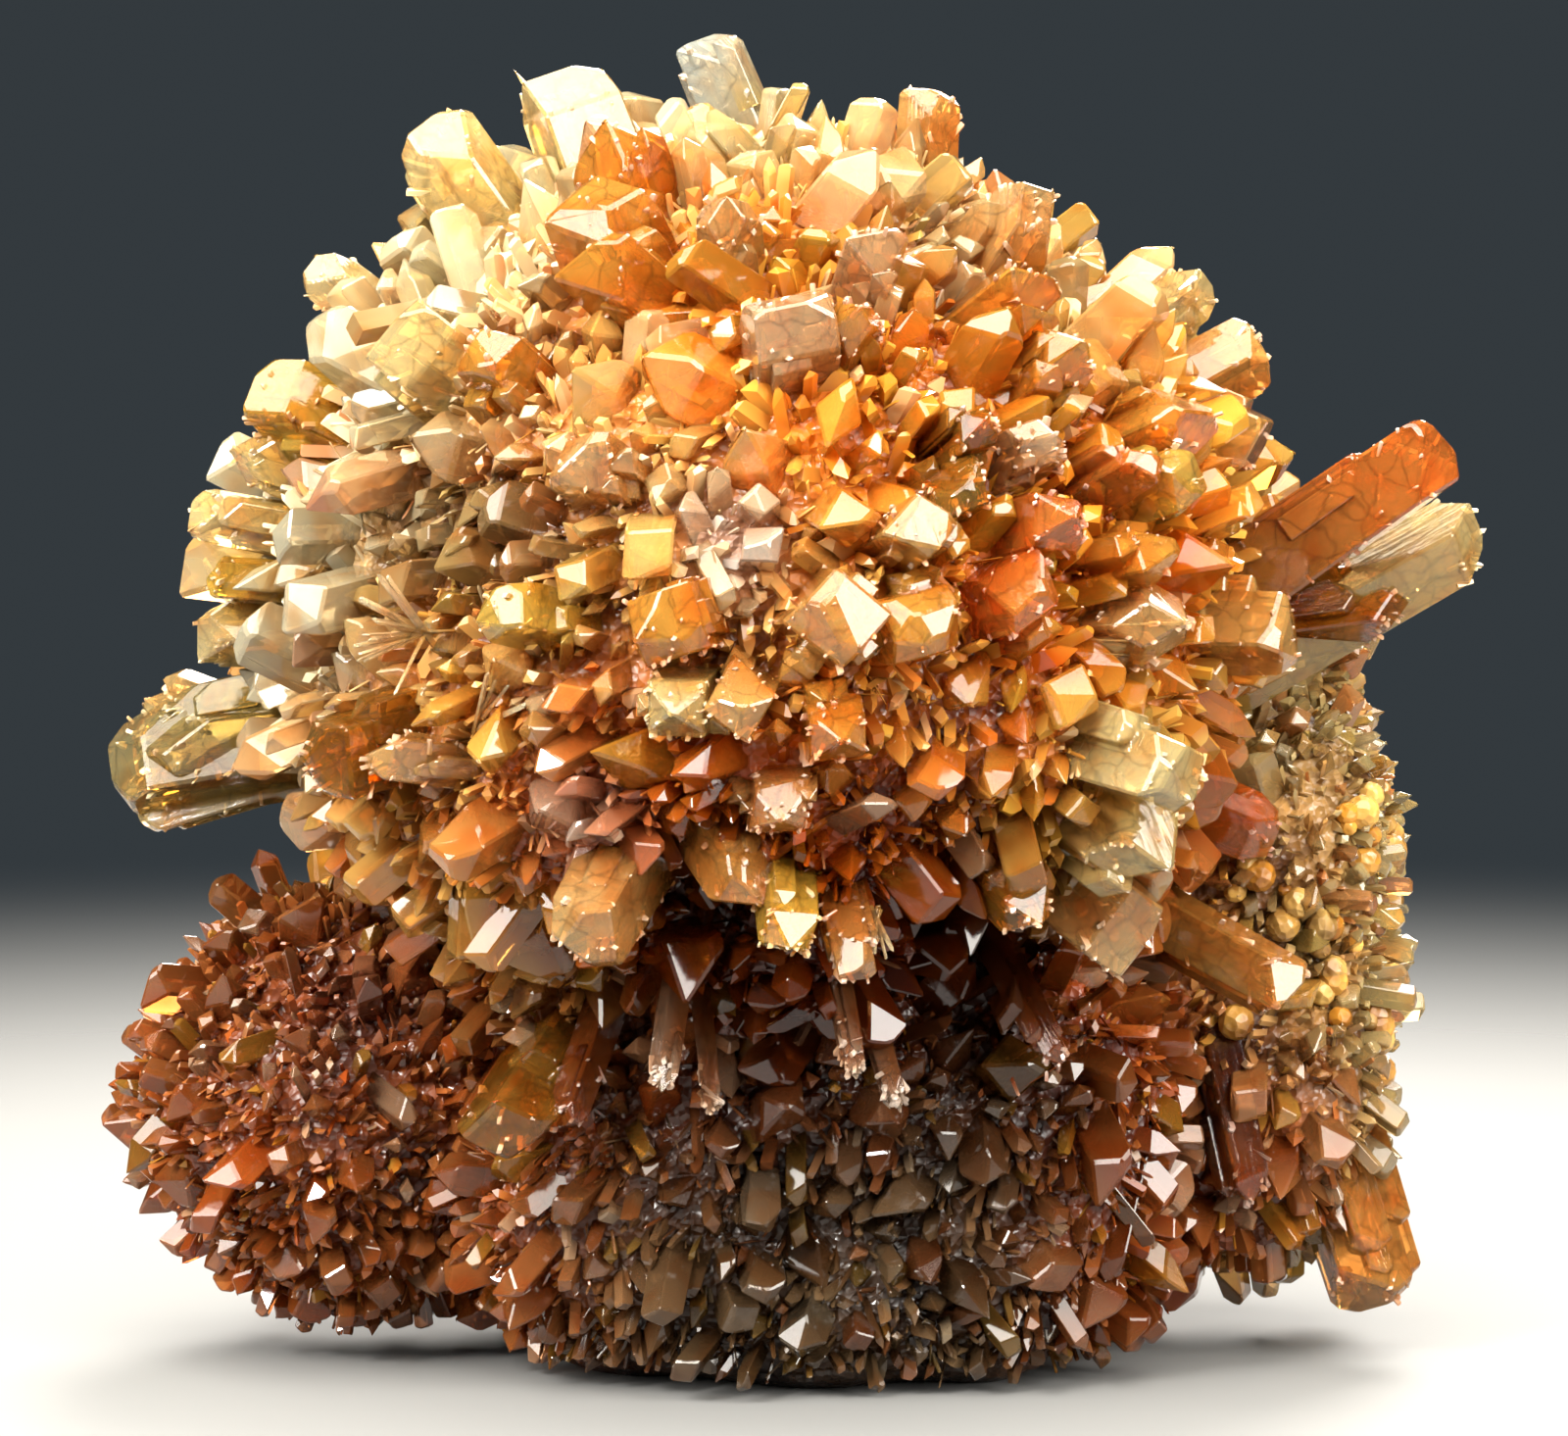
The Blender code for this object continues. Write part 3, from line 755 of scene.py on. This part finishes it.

# %% [markdown]
# Their places. Scattering them would miss every crystal that the eye knows the cluster by, so each
# is placed one by one. Most point straight out from the middle of the ball, so for them it is
# enough to say where the tip is seen and how far it stands out. The others lean, and get a full
# tip and direction.

# %% Places of the large crystals
# across, up, stands out, width, thickness, turn, end, colour
OUTWARD = (
    (-6.7, 18.1, 4.0, 3.0, 2.6, 20, ROOF, "cream"),
    (-11.0, 16.2, 4.6, 3.3, 2.7, 35, ROOF, "cream"),
    (-5.0, 15.9, 3.6, 3.0, 2.8, 10, POINT, "orange"),
    (-5.3, 13.4, 2.8, 3.6, 3.0, 5, CLEAVED, "orange"),
    (-1.1, 13.3, 3.2, 1.7, 1.6, 40, POINT, "clear"),
    (1.0, 9.8, 3.2, 2.9, 2.4, 15, ROOF, "lilac"),
    (3.0, 9.8, 2.9, 1.6, 1.6, 45, POINT, "orange"),
    (3.7, 12.2, 2.8, 2.3, 2.0, 25, ROOF, "lilac"),
    (7.0, 6.2, 3.0, 1.8, 1.5, 60, POINT, "amber"),
    (9.2, 5.8, 2.6, 1.8, 1.6, 20, POINT, "lilac"),
    (9.8, 3.2, 3.4, 2.3, 2.3, 45, POINT, "red"),
    (13.6, 4.6, 3.0, 2.3, 2.2, 0, CLEAVED, "yellow"),
    (12.8, 2.0, 2.8, 2.4, 2.0, 30, ROOF, "orange"),
    (13.4, -0.1, 3.0, 2.5, 2.4, 50, POINT, "clear"),
    (17.0, -0.4, 3.0, 3.2, 2.7, 10, CLEAVED, "peach"),
    (6.4, 4.2, 2.7, 2.4, 2.0, 65, CHISEL, "amber"),
    (5.1, 2.9, 2.9, 2.6, 2.0, 12, CLEAVED, "peach"),
    (2.5, 0.0, 3.6, 3.2, 3.0, 4, CLEAVED, "peach"),
    (5.2, -0.2, 3.0, 2.7, 2.2, 14, CLEAVED, "orange"),
    (8.6, 0.9, 2.8, 2.8, 2.1, 75, CHISEL, "red"),
    (-3.0, -0.2, 3.0, 2.4, 2.4, 18, CLEAVED, "orange"),
    (-2.8, -3.0, 3.4, 2.4, 2.4, 44, POINT, "cream"),
    (-0.7, -2.7, 3.1, 2.2, 2.4, 12, CHISEL, "peach"),
    (2.5, -3.8, 2.9, 2.5, 2.2, 50, POINT, "orange"),
    (0.6, -6.3, 2.4, 2.6, 2.0, 45, POINT, "smoky"),
    (-5.7, -10.2, 3.2, 2.3, 2.5, 8, CLEAVED, "clear"),
    (0.9, -10.3, 2.9, 2.1, 2.0, 30, POINT, "yellow"),
    (3.0, -11.0, 3.0, 1.7, 1.6, 55, CHISEL, "smoky"),
    (12.2, -10.4, 3.0, 2.9, 2.4, 35, ROOF, "clear"),
    (8.8, -9.6, 2.8, 2.2, 2.0, 50, POINT, "amber"),
    (16.8, -7.0, 2.4, 1.9, 1.8, 35, ROOF, "red"),
    (14.1, 6.6, 3.0, 3.2, 2.8, 25, ROOF, "orange"),
    (16.5, 6.5, 2.8, 2.6, 2.4, 60, ROOF, "peach"),
    (16.3, 9.0, 3.2, 2.6, 2.4, 5, CLEAVED, "peach"),
    (14.6, 11.2, 3.0, 1.7, 1.5, 40, ROOF, "cream"),
    (9.1, 13.9, 2.4, 2.2, 2.0, 30, ROOF, "clear"),
    (-14.7, 11.7, 3.6, 2.0, 1.8, 30, ROOF, "cream"),
    (-16.6, 7.7, 3.2, 2.5, 2.2, 50, ROOF, "yellow"),
    (-17.3, 5.6, 3.0, 1.9, 1.7, 10, POINT, "cream"),
    (-18.6, 3.6, 3.8, 2.0, 1.8, 65, ROOF, "cream"),
    (-18.0, 1.4, 3.0, 1.6, 1.5, 20, CHISEL, "yellow"),
    (-18.4, -0.3, 3.2, 2.1, 1.9, 80, ROOF, "cream"),
    (-14.1, -4.6, 3.2, 2.9, 2.5, 15, CLEAVED, "amber"),
    (-5.8, 5.1, 2.6, 2.5, 2.3, 40, ROOF, "clear"),
    (-8.8, 8.5, 2.6, 2.4, 2.0, 12, CLEAVED, "orange"),
    (-11.8, 9.3, 3.2, 2.8, 2.4, 35, ROOF, "cream"),
)

# tip (across, up, towards), the way it points, width, thickness, length, turn, end, colour
LEANING = (
    ((-1.9, 19.2, -0.5), (-0.38, 0.92, -0.05), 2.4, 2.2, 6.5, 25, ROOF, "icy"),
    ((5.5, 17.5, -1.5), (0.06, 0.99, -0.05), 2.0, 1.8, 6.0, 5, CLEAVED, "peach"),
    ((2.9, 16.3, -1.0), (0.25, 0.95, -0.1), 2.8, 2.2, 4.0, 60, POINT, "cream"),
    ((-5.6, 11.6, 13.0), (-0.62, 0.55, 0.55), 2.7, 2.4, 5.5, 15, ROOF, "orange"),
    ((8.9, 10.9, 11.4), (0.64, 0.52, 0.56), 2.7, 2.5, 6.5, 20, ROOF, "orange"),
    ((10.2, 8.8, 12.0), (0.55, 0.50, 0.67), 2.3, 2.2, 6.0, 48, POINT, "orange"),
    ((12.4, 5.2, 12.2), (0.70, 0.42, 0.58), 1.9, 1.7, 6.0, 30, CHISEL, "red"),
    ((22.3, 5.9, 1.8), (0.80, 0.56, 0.18), 3.4, 3.0, 9.5, 30, ROOF, "ember"),
    ((23.6, 3.2, -2.4), (0.86, 0.48, -0.10), 2.5, 2.2, 9.0, 50, ROOF, "cream"),
    ((21.3, 0.8, -1.8), (0.97, 0.12, -0.10), 2.3, 2.1, 7.0, 15, POINT, "amber"),
    ((20.4, -22.7, -5.5), (0.30, -0.95, 0.02), 3.3, 2.9, 9.0, 35, ROOF, "peach"),
    ((-21.5, -4.7, -2.0), (-0.97, -0.18, -0.05), 3.7, 3.0, 7.5, 40, ROOF, "pale"),
    ((-20.4, -2.6, -2.6), (-0.92, 0.36, -0.10), 2.5, 2.2, 6.5, 10, POINT, "cream"),
    ((-20.6, -6.2, -2.4), (-0.95, -0.30, -0.05), 2.6, 2.0, 6.5, 62, ROOF, "cream"),
    ((-20.2, -4.1, -0.6), (-0.93, -0.12, 0.20), 2.4, 1.9, 6.0, 20, CHISEL, "pale"),
    ((-12.3, -4.2, 12.6), (-0.82, 0.10, 0.56), 2.0, 1.8, 6.5, 20, CHISEL, "clear"),
    ((-8.3, 0.3, 15.8), (-0.66, 0.14, 0.74), 2.0, 1.7, 5.0, 8, CLEAVED, "yellow"),
    ((0.0, -9.0, 13.6), (0.42, -0.66, 0.62), 2.5, 2.3, 6.0, 25, POINT, "peach"),
    ((13.2, -5.0, 13.4), (0.70, -0.22, 0.68), 3.0, 2.7, 6.5, 12, CLEAVED, "cream"),
    ((12.9, -7.9, 11.6), (0.58, -0.52, 0.62), 3.1, 2.8, 6.5, 40, POINT, "cream"),
    ((17.3, -11.9, 3.6), (0.72, -0.40, 0.50), 2.1, 1.9, 7.0, 15, ROOF, "peach"),
    ((16.0, -19.0, -1.2), (0.20, -0.96, 0.20), 1.7, 1.4, 5.0, 30, POINT, "brown"),
    ((-8.4, -16.4, 7.0), (-0.30, -0.45, 0.80), 3.2, 2.2, 6.0, 10, CLEAVED, "amber"),
    ((20.8, -17.2, -6.5), (0.90, -0.35, 0.10), 2.6, 1.6, 5.0, 5, CLEAVED, "yellow"),
)
# Clear ones that hang in the dark under the ball
LEANING += (
    ((-3.2, -15.0, 9.6), (-0.12, -0.86, 0.50), 1.0, 0.8, 4.0, 20, SPEAR, "pearl"),
    ((-1.6, -15.8, 8.2), (0.10, -0.90, 0.42), 0.7, 0.6, 3.6, 55, SPEAR, "pearl"),
    ((3.0, -14.6, 9.6), (0.16, -0.88, 0.44), 0.9, 0.8, 4.0, 35, SPEAR, "pearl"),
    ((4.4, -15.6, 8.6), (0.24, -0.88, 0.40), 0.7, 0.6, 3.6, 10, SPEAR, "pearl"),
    ((9.6, -14.2, 6.4), (0.42, -0.80, 0.42), 1.1, 0.9, 4.0, 70, POINT, "brown"),
    ((-6.4, -16.2, 6.4), (-0.30, -0.84, 0.44), 1.2, 1.0, 4.0, 40, ROOF, "brown"),
)
ROOT_DEPTH = 2.4


def large_crystals():
    """Every large crystal: tip, direction, width, thickness, length, turn, end and colour."""
    for across, up, stands, *rest in OUTWARD:
        flat = math.hypot(across, up)
        reach = max(BALL_RADIUS + stands, flat)
        tip = seen_at(across, up, math.sqrt(reach**2 - flat**2))
        direction = (tip - BALL_CENTRE).normalized()
        width, thickness, turn, end, colour = rest
        yield tip, direction, width, thickness, stands + ROOT_DEPTH, turn, end, colour
    for tip, way, *rest in LEANING:
        direction = ACROSS * way[0] + UPWARDS * way[1] + TOWARDS * way[2]
        yield seen_at(*tip), direction.normalized(), *rest


print(len(OUTWARD), "crystals point outward and", len(LEANING), "lean")

# %% [markdown]
# Roots and dust. A crystal that starts in the air would betray the whole cluster from the side, so
# a test tells whether its foot is under the skin: the nearest face of the skin has to point away
# from it. And no large crystal is clean: tiny ones have settled on its lower flanks, which breaks
# the straight edges and gives the eye a scale. They are strewn over its faces, each turned roughly
# outwards.

# %% Roots and dust
INSIDE = 0.4
skin_tree = kdtree.KDTree(len(seeds))
for i, (place, _) in enumerate(seeds):
    skin_tree.insert(place, i)
skin_tree.balance()


def rooted(place):
    """Whether a place lies under the skin, where a crystal's foot belongs."""
    nearest, i, _ = skin_tree.find(place)
    return (place - nearest).dot(seeds[i][1]) < -INSIDE


DUST_WIDTHS = (0.10, 0.26)
DUST_COUNT = 46
DUST_SWAY = 0.35
DUST_RISE = 0.8
CLEAN_END = 0.25
DUST_REACH = 2.5
CLEAR_TIP = paint(255, 248, 238)
SMALLEST_FACE = 0.02

dice = random.Random(5)
dusting = bmesh.new()


def dust(form, placing, axis, width, colour, count):
    """Strews tiny crystals over the sides of a large one, most of them low down."""
    upright = placing.to_3x3().inverted().transposed()
    sides = [face for face in form.polygons if face.area > SMALLEST_FACE]
    for _ in range(count):
        face = dice.choice(sides)
        corners = [form.vertices[i].co for i in dice.sample(list(face.vertices), 3)]
        shares = sorted((dice.random(), dice.random()))
        spot = corners[0] * shares[0] + corners[1] * (shares[1] - shares[0])
        spot += corners[2] * (1 - shares[1])
        if spot.z > -CLEAN_END and dice.random() < 0.6 or spot.z < -DUST_REACH:
            continue
        normal = (upright @ face.normal).normalized()
        sway = Vector((dice.gauss(0, 1), dice.gauss(0, 1), dice.gauss(0, 1))) * DUST_SWAY
        direction = (normal + axis * DUST_RISE + sway).normalized()
        size = Vector((1, 1, 0.8)) * dice.uniform(*DUST_WIDTHS)
        tip = placing @ spot + direction * size.x * dice.uniform(0.3, 1.2)
        bright = dice.uniform(0.7, 1.2)
        stamp(dusting, dice.choice(GRAINS), tip, direction, size, dice.uniform(0, 90),
              colour * bright, colour.lerp(CLEAR_TIP, 0.5) * bright, 0.5, dice)


print("the middle of the ball is under the skin:", rooted(BALL_CENTRE))

# %% [markdown]
# Growing them. A large crystal is rarely single or perfect: it is a bundle of parallel prisms of
# unlike lengths, with chipped corners. One prism each looked like a block from a toy box, so every
# end takes three more cuts at random angles, and two to four slimmer prisms stand beside it.

# %% Large crystals
CHIPS = 3
CHIP_SLOPES = (24, 66)
CHIP_BACKS = (0.25, 0.7)
LARGE_BEVEL = 0.03
LONGEST = 14.0
LONGER = 0.5
BESIDE = (0.28, 0.46)
SHORTER = (0.15, 0.9)
SLIMMER = (0.3, 0.62)
DIAMOND_SHARE = 0.6
TIP_STAIN = 1.3
BESIDE_STAIN = 0.8
large = {"glassy": bmesh.new(), "stained": bmesh.new()}
taken = []
for tip, direction, width, thickness, length, turn, end, colour in large_crystals():
    root_colour, tip_colour, kind = PALETTE[colour]
    taken.append((tip - direction * (length - ROOT_DEPTH), width))
    modelled = length
    while length < LONGEST and not rooted(tip - direction * length):
        length += LONGER
    if length > modelled:
        print(colour, "crystal reaches", length - modelled, "mm further in to its root")
    chips = [
        (dice.uniform(0, 360), dice.uniform(*CHIP_SLOPES), dice.uniform(*CHIP_BACKS))
        for _ in range(CHIPS)
    ]
    form = crystal_form(
        (*end, *chips), thickness / width, length / width, LARGE_BEVEL,
        rhombic=dice.random() < DIAMOND_SHARE,
    )
    size = Vector((width, width, width))
    placing = stamp(large[kind], form, tip, direction, size, turn, root_colour, tip_colour,
                    width * TIP_STAIN, dice)
    dust(form, placing, direction, width, root_colour.lerp(tip_colour, 0.5), DUST_COUNT)
    side = direction.orthogonal().normalized()
    for _ in range(dice.choice((2, 3, 4))):
        around = Matrix.Rotation(dice.uniform(0, math.tau), 3, direction)
        shift = around @ side * width * dice.uniform(*BESIDE)
        shorter = direction * width * dice.uniform(*SHORTER)
        small = size * dice.uniform(*SLIMMER)
        beside = tip + shift - shorter
        stamp(large[kind], form, beside, direction, small, turn + dice.uniform(-6, 6), root_colour,
              tip_colour, width * BESIDE_STAIN, dice)
for kind, material in (("glassy", GLASSY), ("stained", STAINED)):
    finish_piece(f"large_crystals_{kind}", large[kind], material)
finish_piece("dusting", dusting, FINE)

# %% [markdown]
# Room. Between the large crystals stand thousands of smaller ones, packed but not inside each
# other. To ask every crystal about every other would take minutes, so space is divided into boxes,
# and a new crystal only asks those in its own box and the boxes next to it.

# %% Room between crystals
CROWD = 3.0


class Crowd:
    """Remembers what stands where, in boxes as wide as the largest gap."""

    def __init__(self):
        self.boxes = {}

    def near(self, place):
        corner = [math.floor(c / CROWD) for c in place]
        for i in (-1, 0, 1):
            for j in (-1, 0, 1):
                for k in (-1, 0, 1):
                    yield from self.boxes.get((corner[0] + i, corner[1] + j, corner[2] + k), ())

    def has_room(self, place, width, gap):
        return all(
            (place - other).length > gap * (width + wide) for other, wide in self.near(place)
        )

    def add(self, place, width):
        box = tuple(math.floor(c / CROWD) for c in place)
        self.boxes.setdefault(box, []).append((place, width))


crowd = Crowd()
for root, width in taken:
    crowd.add(root, width)

print(len(crowd.boxes), "boxes hold the roots of", len(taken), "large crystals")

# %% [markdown]
# Neighbours differ. Where the stain is the same all round, a real cluster still has a clear, a red
# or a yellow crystal here and there. One in four gets such a colour, as bright as the local stain,
# so that none glares out of the shade.

# %% Odd ones
# Now and then a crystal is clearer, redder or yellower than its neighbours: share, colour
ODD_ONES = (
    (0.08, paint(248, 228, 190)),
    (0.12, paint(230, 100, 10)),
    (0.08, paint(248, 196, 60)),
)
ODD_STRENGTH = 0.45
ODD_BRIGHT = 1.3


def vary(root_colour, tip_colour):
    """The local stain, with the differences from one crystal to the next."""
    bright = dice.uniform(0.7, 1.15)
    lot = dice.random()
    for share, colour in ODD_ONES:
        lot -= share
        if lot < 0:
            colour = colour * min(1, tip_colour.x * ODD_BRIGHT)
            tip_colour = tip_colour.lerp(colour, ODD_STRENGTH)
            root_colour = root_colour.lerp(colour, ODD_STRENGTH / 2)
            break
    return root_colour * bright, tip_colour * bright


print("odd ones:", round(sum(share for share, _ in ODD_ONES) * 100), "in a hundred")

# %% [markdown]
# The filling. Every face of the skin is a possible place for a crystal. A shuffled walk through
# them keeps those that have room, coarse crystals first, then finer and finer ones in the gaps
# that are left, as in nature, where the early ones take the space. Each stands roughly square to
# the skin; slow noise leans whole tufts the same way, and under the ball they hang. A particle
# system could scatter them too, but wouldn't leave out what has no room.

# %% Filling
# name, forms, material, how many at most, width, stands out, gap, lean, fade, paler at the root
FILLINGS = (
    ("blocky_crystals", FORMS, MIDDLING, 640, (1.4, 2.7), (1.0, 2.9), 0.43, 0.20, 2.4, 0.0),
    ("middle_crystals", FORMS, MIDDLING, 1700, (0.8, 1.5), (0.5, 2.0), 0.38, 0.26, 1.6, 0.1),
    ("small_crystals", GRAINS, FINE, 5600, (0.36, 0.8), (0.2, 1.2), 0.36, 0.35, 1.0, 0.2),
    ("fine_crystals", SHARDS, FINE, 6000, (0.12, 0.28), (0.2, 1.0), 0.36, 0.45, 0.7, 0.3),
)
TUFT_SIZE = 3.2
TUFT_LEAN = 0.7
TUFT_SEED = 5
MOSTLY_SLIM = 1.4
FOOT_TOP = 9.5
FOOT_LEFT = -8.0
FOOT_HANG = 0.45
LOWEST_ROOT = 1.0
CLEARANCE = 0.6
# Without a seed, noise vectors take theirs from the clock, and each run would grow another cluster
noise.seed_set(TUFT_SEED)
dice.shuffle(seeds)
for name, forms, material, most, widths, stands, gap, lean, fade, pale in FILLINGS:
    bm = bmesh.new()
    count = 0
    for place, normal in seeds:
        root_colour, tip_colour, coarse = stain(place)
        width = (widths[0] + (widths[1] - widths[0]) * dice.random() ** MOSTLY_SLIM) * coarse
        if place.z < LOWEST_ROOT or not crowd.has_room(place, width, gap):
            continue
        sway = Vector((dice.gauss(0, 1), dice.gauss(0, 1), dice.gauss(0, 1)))
        tuft = noise.noise_vector(place / TUFT_SIZE) * TUFT_LEAN
        direction = normal + sway * lean + tuft
        if place.z < FOOT_TOP and as_seen(place).x > FOOT_LEFT:
            direction.z -= FOOT_HANG
        direction.normalize()
        tip = place + direction * dice.uniform(*stands) * coarse
        if min(tip.z, tip.z - FORM_LENGTH * width * direction.z) < width * CLEARANCE:
            continue
        crowd.add(place, width)
        root_colour, tip_colour = vary(root_colour.lerp(tip_colour, pale), tip_colour)
        size = Vector((1, 1, dice.uniform(0.9, 1.3))) * width
        stamp(bm, dice.choice(forms), tip, direction, size, dice.uniform(0, 90),
              root_colour, tip_colour, fade, dice)
        count += 1
        if count == most:
            break
    print(count, name)
    finish_piece(name, bm, material)

# %% [markdown]
# The needles. Left of the middle a sheaf of golden needles fans out from one point, where crystals
# grew too fast to become stout. They are the long slim forms, turned through a range of compass
# directions.

# %% Golden needles
NEEDLE_FANS = (
    # middle (across, up, towards), first and last compass, how many, width, length
    ((-10.6, -0.4, 12.2), 120, 250, 15, 0.26, 2.6),
    ((-9.0, -3.4, 12.6), 15, 80, 6, 0.24, 2.4),
    ((3.6, -9.4, 12.6), 240, 300, 8, 0.16, 1.8),
)
NEEDLE_COLOURS = (paint(236, 178, 92), paint(255, 240, 200))
needles = bmesh.new()
for middle, first, last, count, width, length in NEEDLE_FANS:
    for _ in range(count):
        compass = math.radians(dice.uniform(first, last))
        way = ACROSS * math.cos(compass) + UPWARDS * math.sin(compass)
        way += TOWARDS * dice.uniform(0.3, 1.1)
        way.normalize()
        size = Vector((width, width, length / SHARD_LENGTH)) * dice.uniform(0.7, 1.2)
        shard = dice.choice(SHARDS)
        tip = seen_at(*middle) + way * length * dice.uniform(0.8, 1.1)
        stamp(needles, shard, tip, way, size, dice.uniform(0, 90), *NEEDLE_COLOURS, 2.0, dice)
finish_piece("golden_needles", needles, STAINED)
print(len(NEEDLE_FANS), "fans of needles")

# %% [markdown]
# The beads. A later mineral coats the crust low on the right in yellow bead-like lumps. They are
# small round shapes half sunk in the skin, and noise gathers them into groups. As bumps in the
# material they would look flat along the edge of the cluster, where they show best.

# %% Yellow beads
BEAD_MIDDLE = Vector((18.6, -11.0, -6.0))
BEAD_SPREAD = 6.5
BEAD_RADII = (0.22, 0.62)
BEAD_GROUP = 1.8
BEAD_SUNK = 0.4
BEAD_COLOUR = paint(196, 140, 44)
BEAD_PALE = paint(222, 196, 118)
beads = bmesh.new()
bead_tint = []
count = 0
for place, normal in seeds:
    away = (as_seen(place) - BEAD_MIDDLE).length / BEAD_SPREAD
    cluster = max(noise.noise(place / BEAD_GROUP) * 2.2, 0.05)
    if away > 1 or dice.random() > 0.5 * cluster * (1.2 - away):
        continue
    radius = dice.uniform(*BEAD_RADII)
    middle = Matrix.Translation(place + normal * radius * BEAD_SUNK)
    made = bmesh.ops.create_icosphere(beads, subdivisions=2, radius=radius, matrix=middle)
    shade = BEAD_COLOUR.lerp(BEAD_PALE, dice.random()) * dice.uniform(0.8, 1.1)
    bead_tint += [(*shade, 1)] * len(made["verts"])
    count += 1
piece = finish_piece("yellow_beads", beads, DRUSE)
tints = piece.data.color_attributes.new("Tint", "FLOAT_COLOR", "POINT")
tints.data.foreach_set("color", [c for colour in bead_tint for c in colour])
piece.data.shade_smooth()
print(count, "beads")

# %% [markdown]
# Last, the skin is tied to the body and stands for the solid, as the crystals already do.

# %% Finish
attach(skin, "root")
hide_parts(NODE)
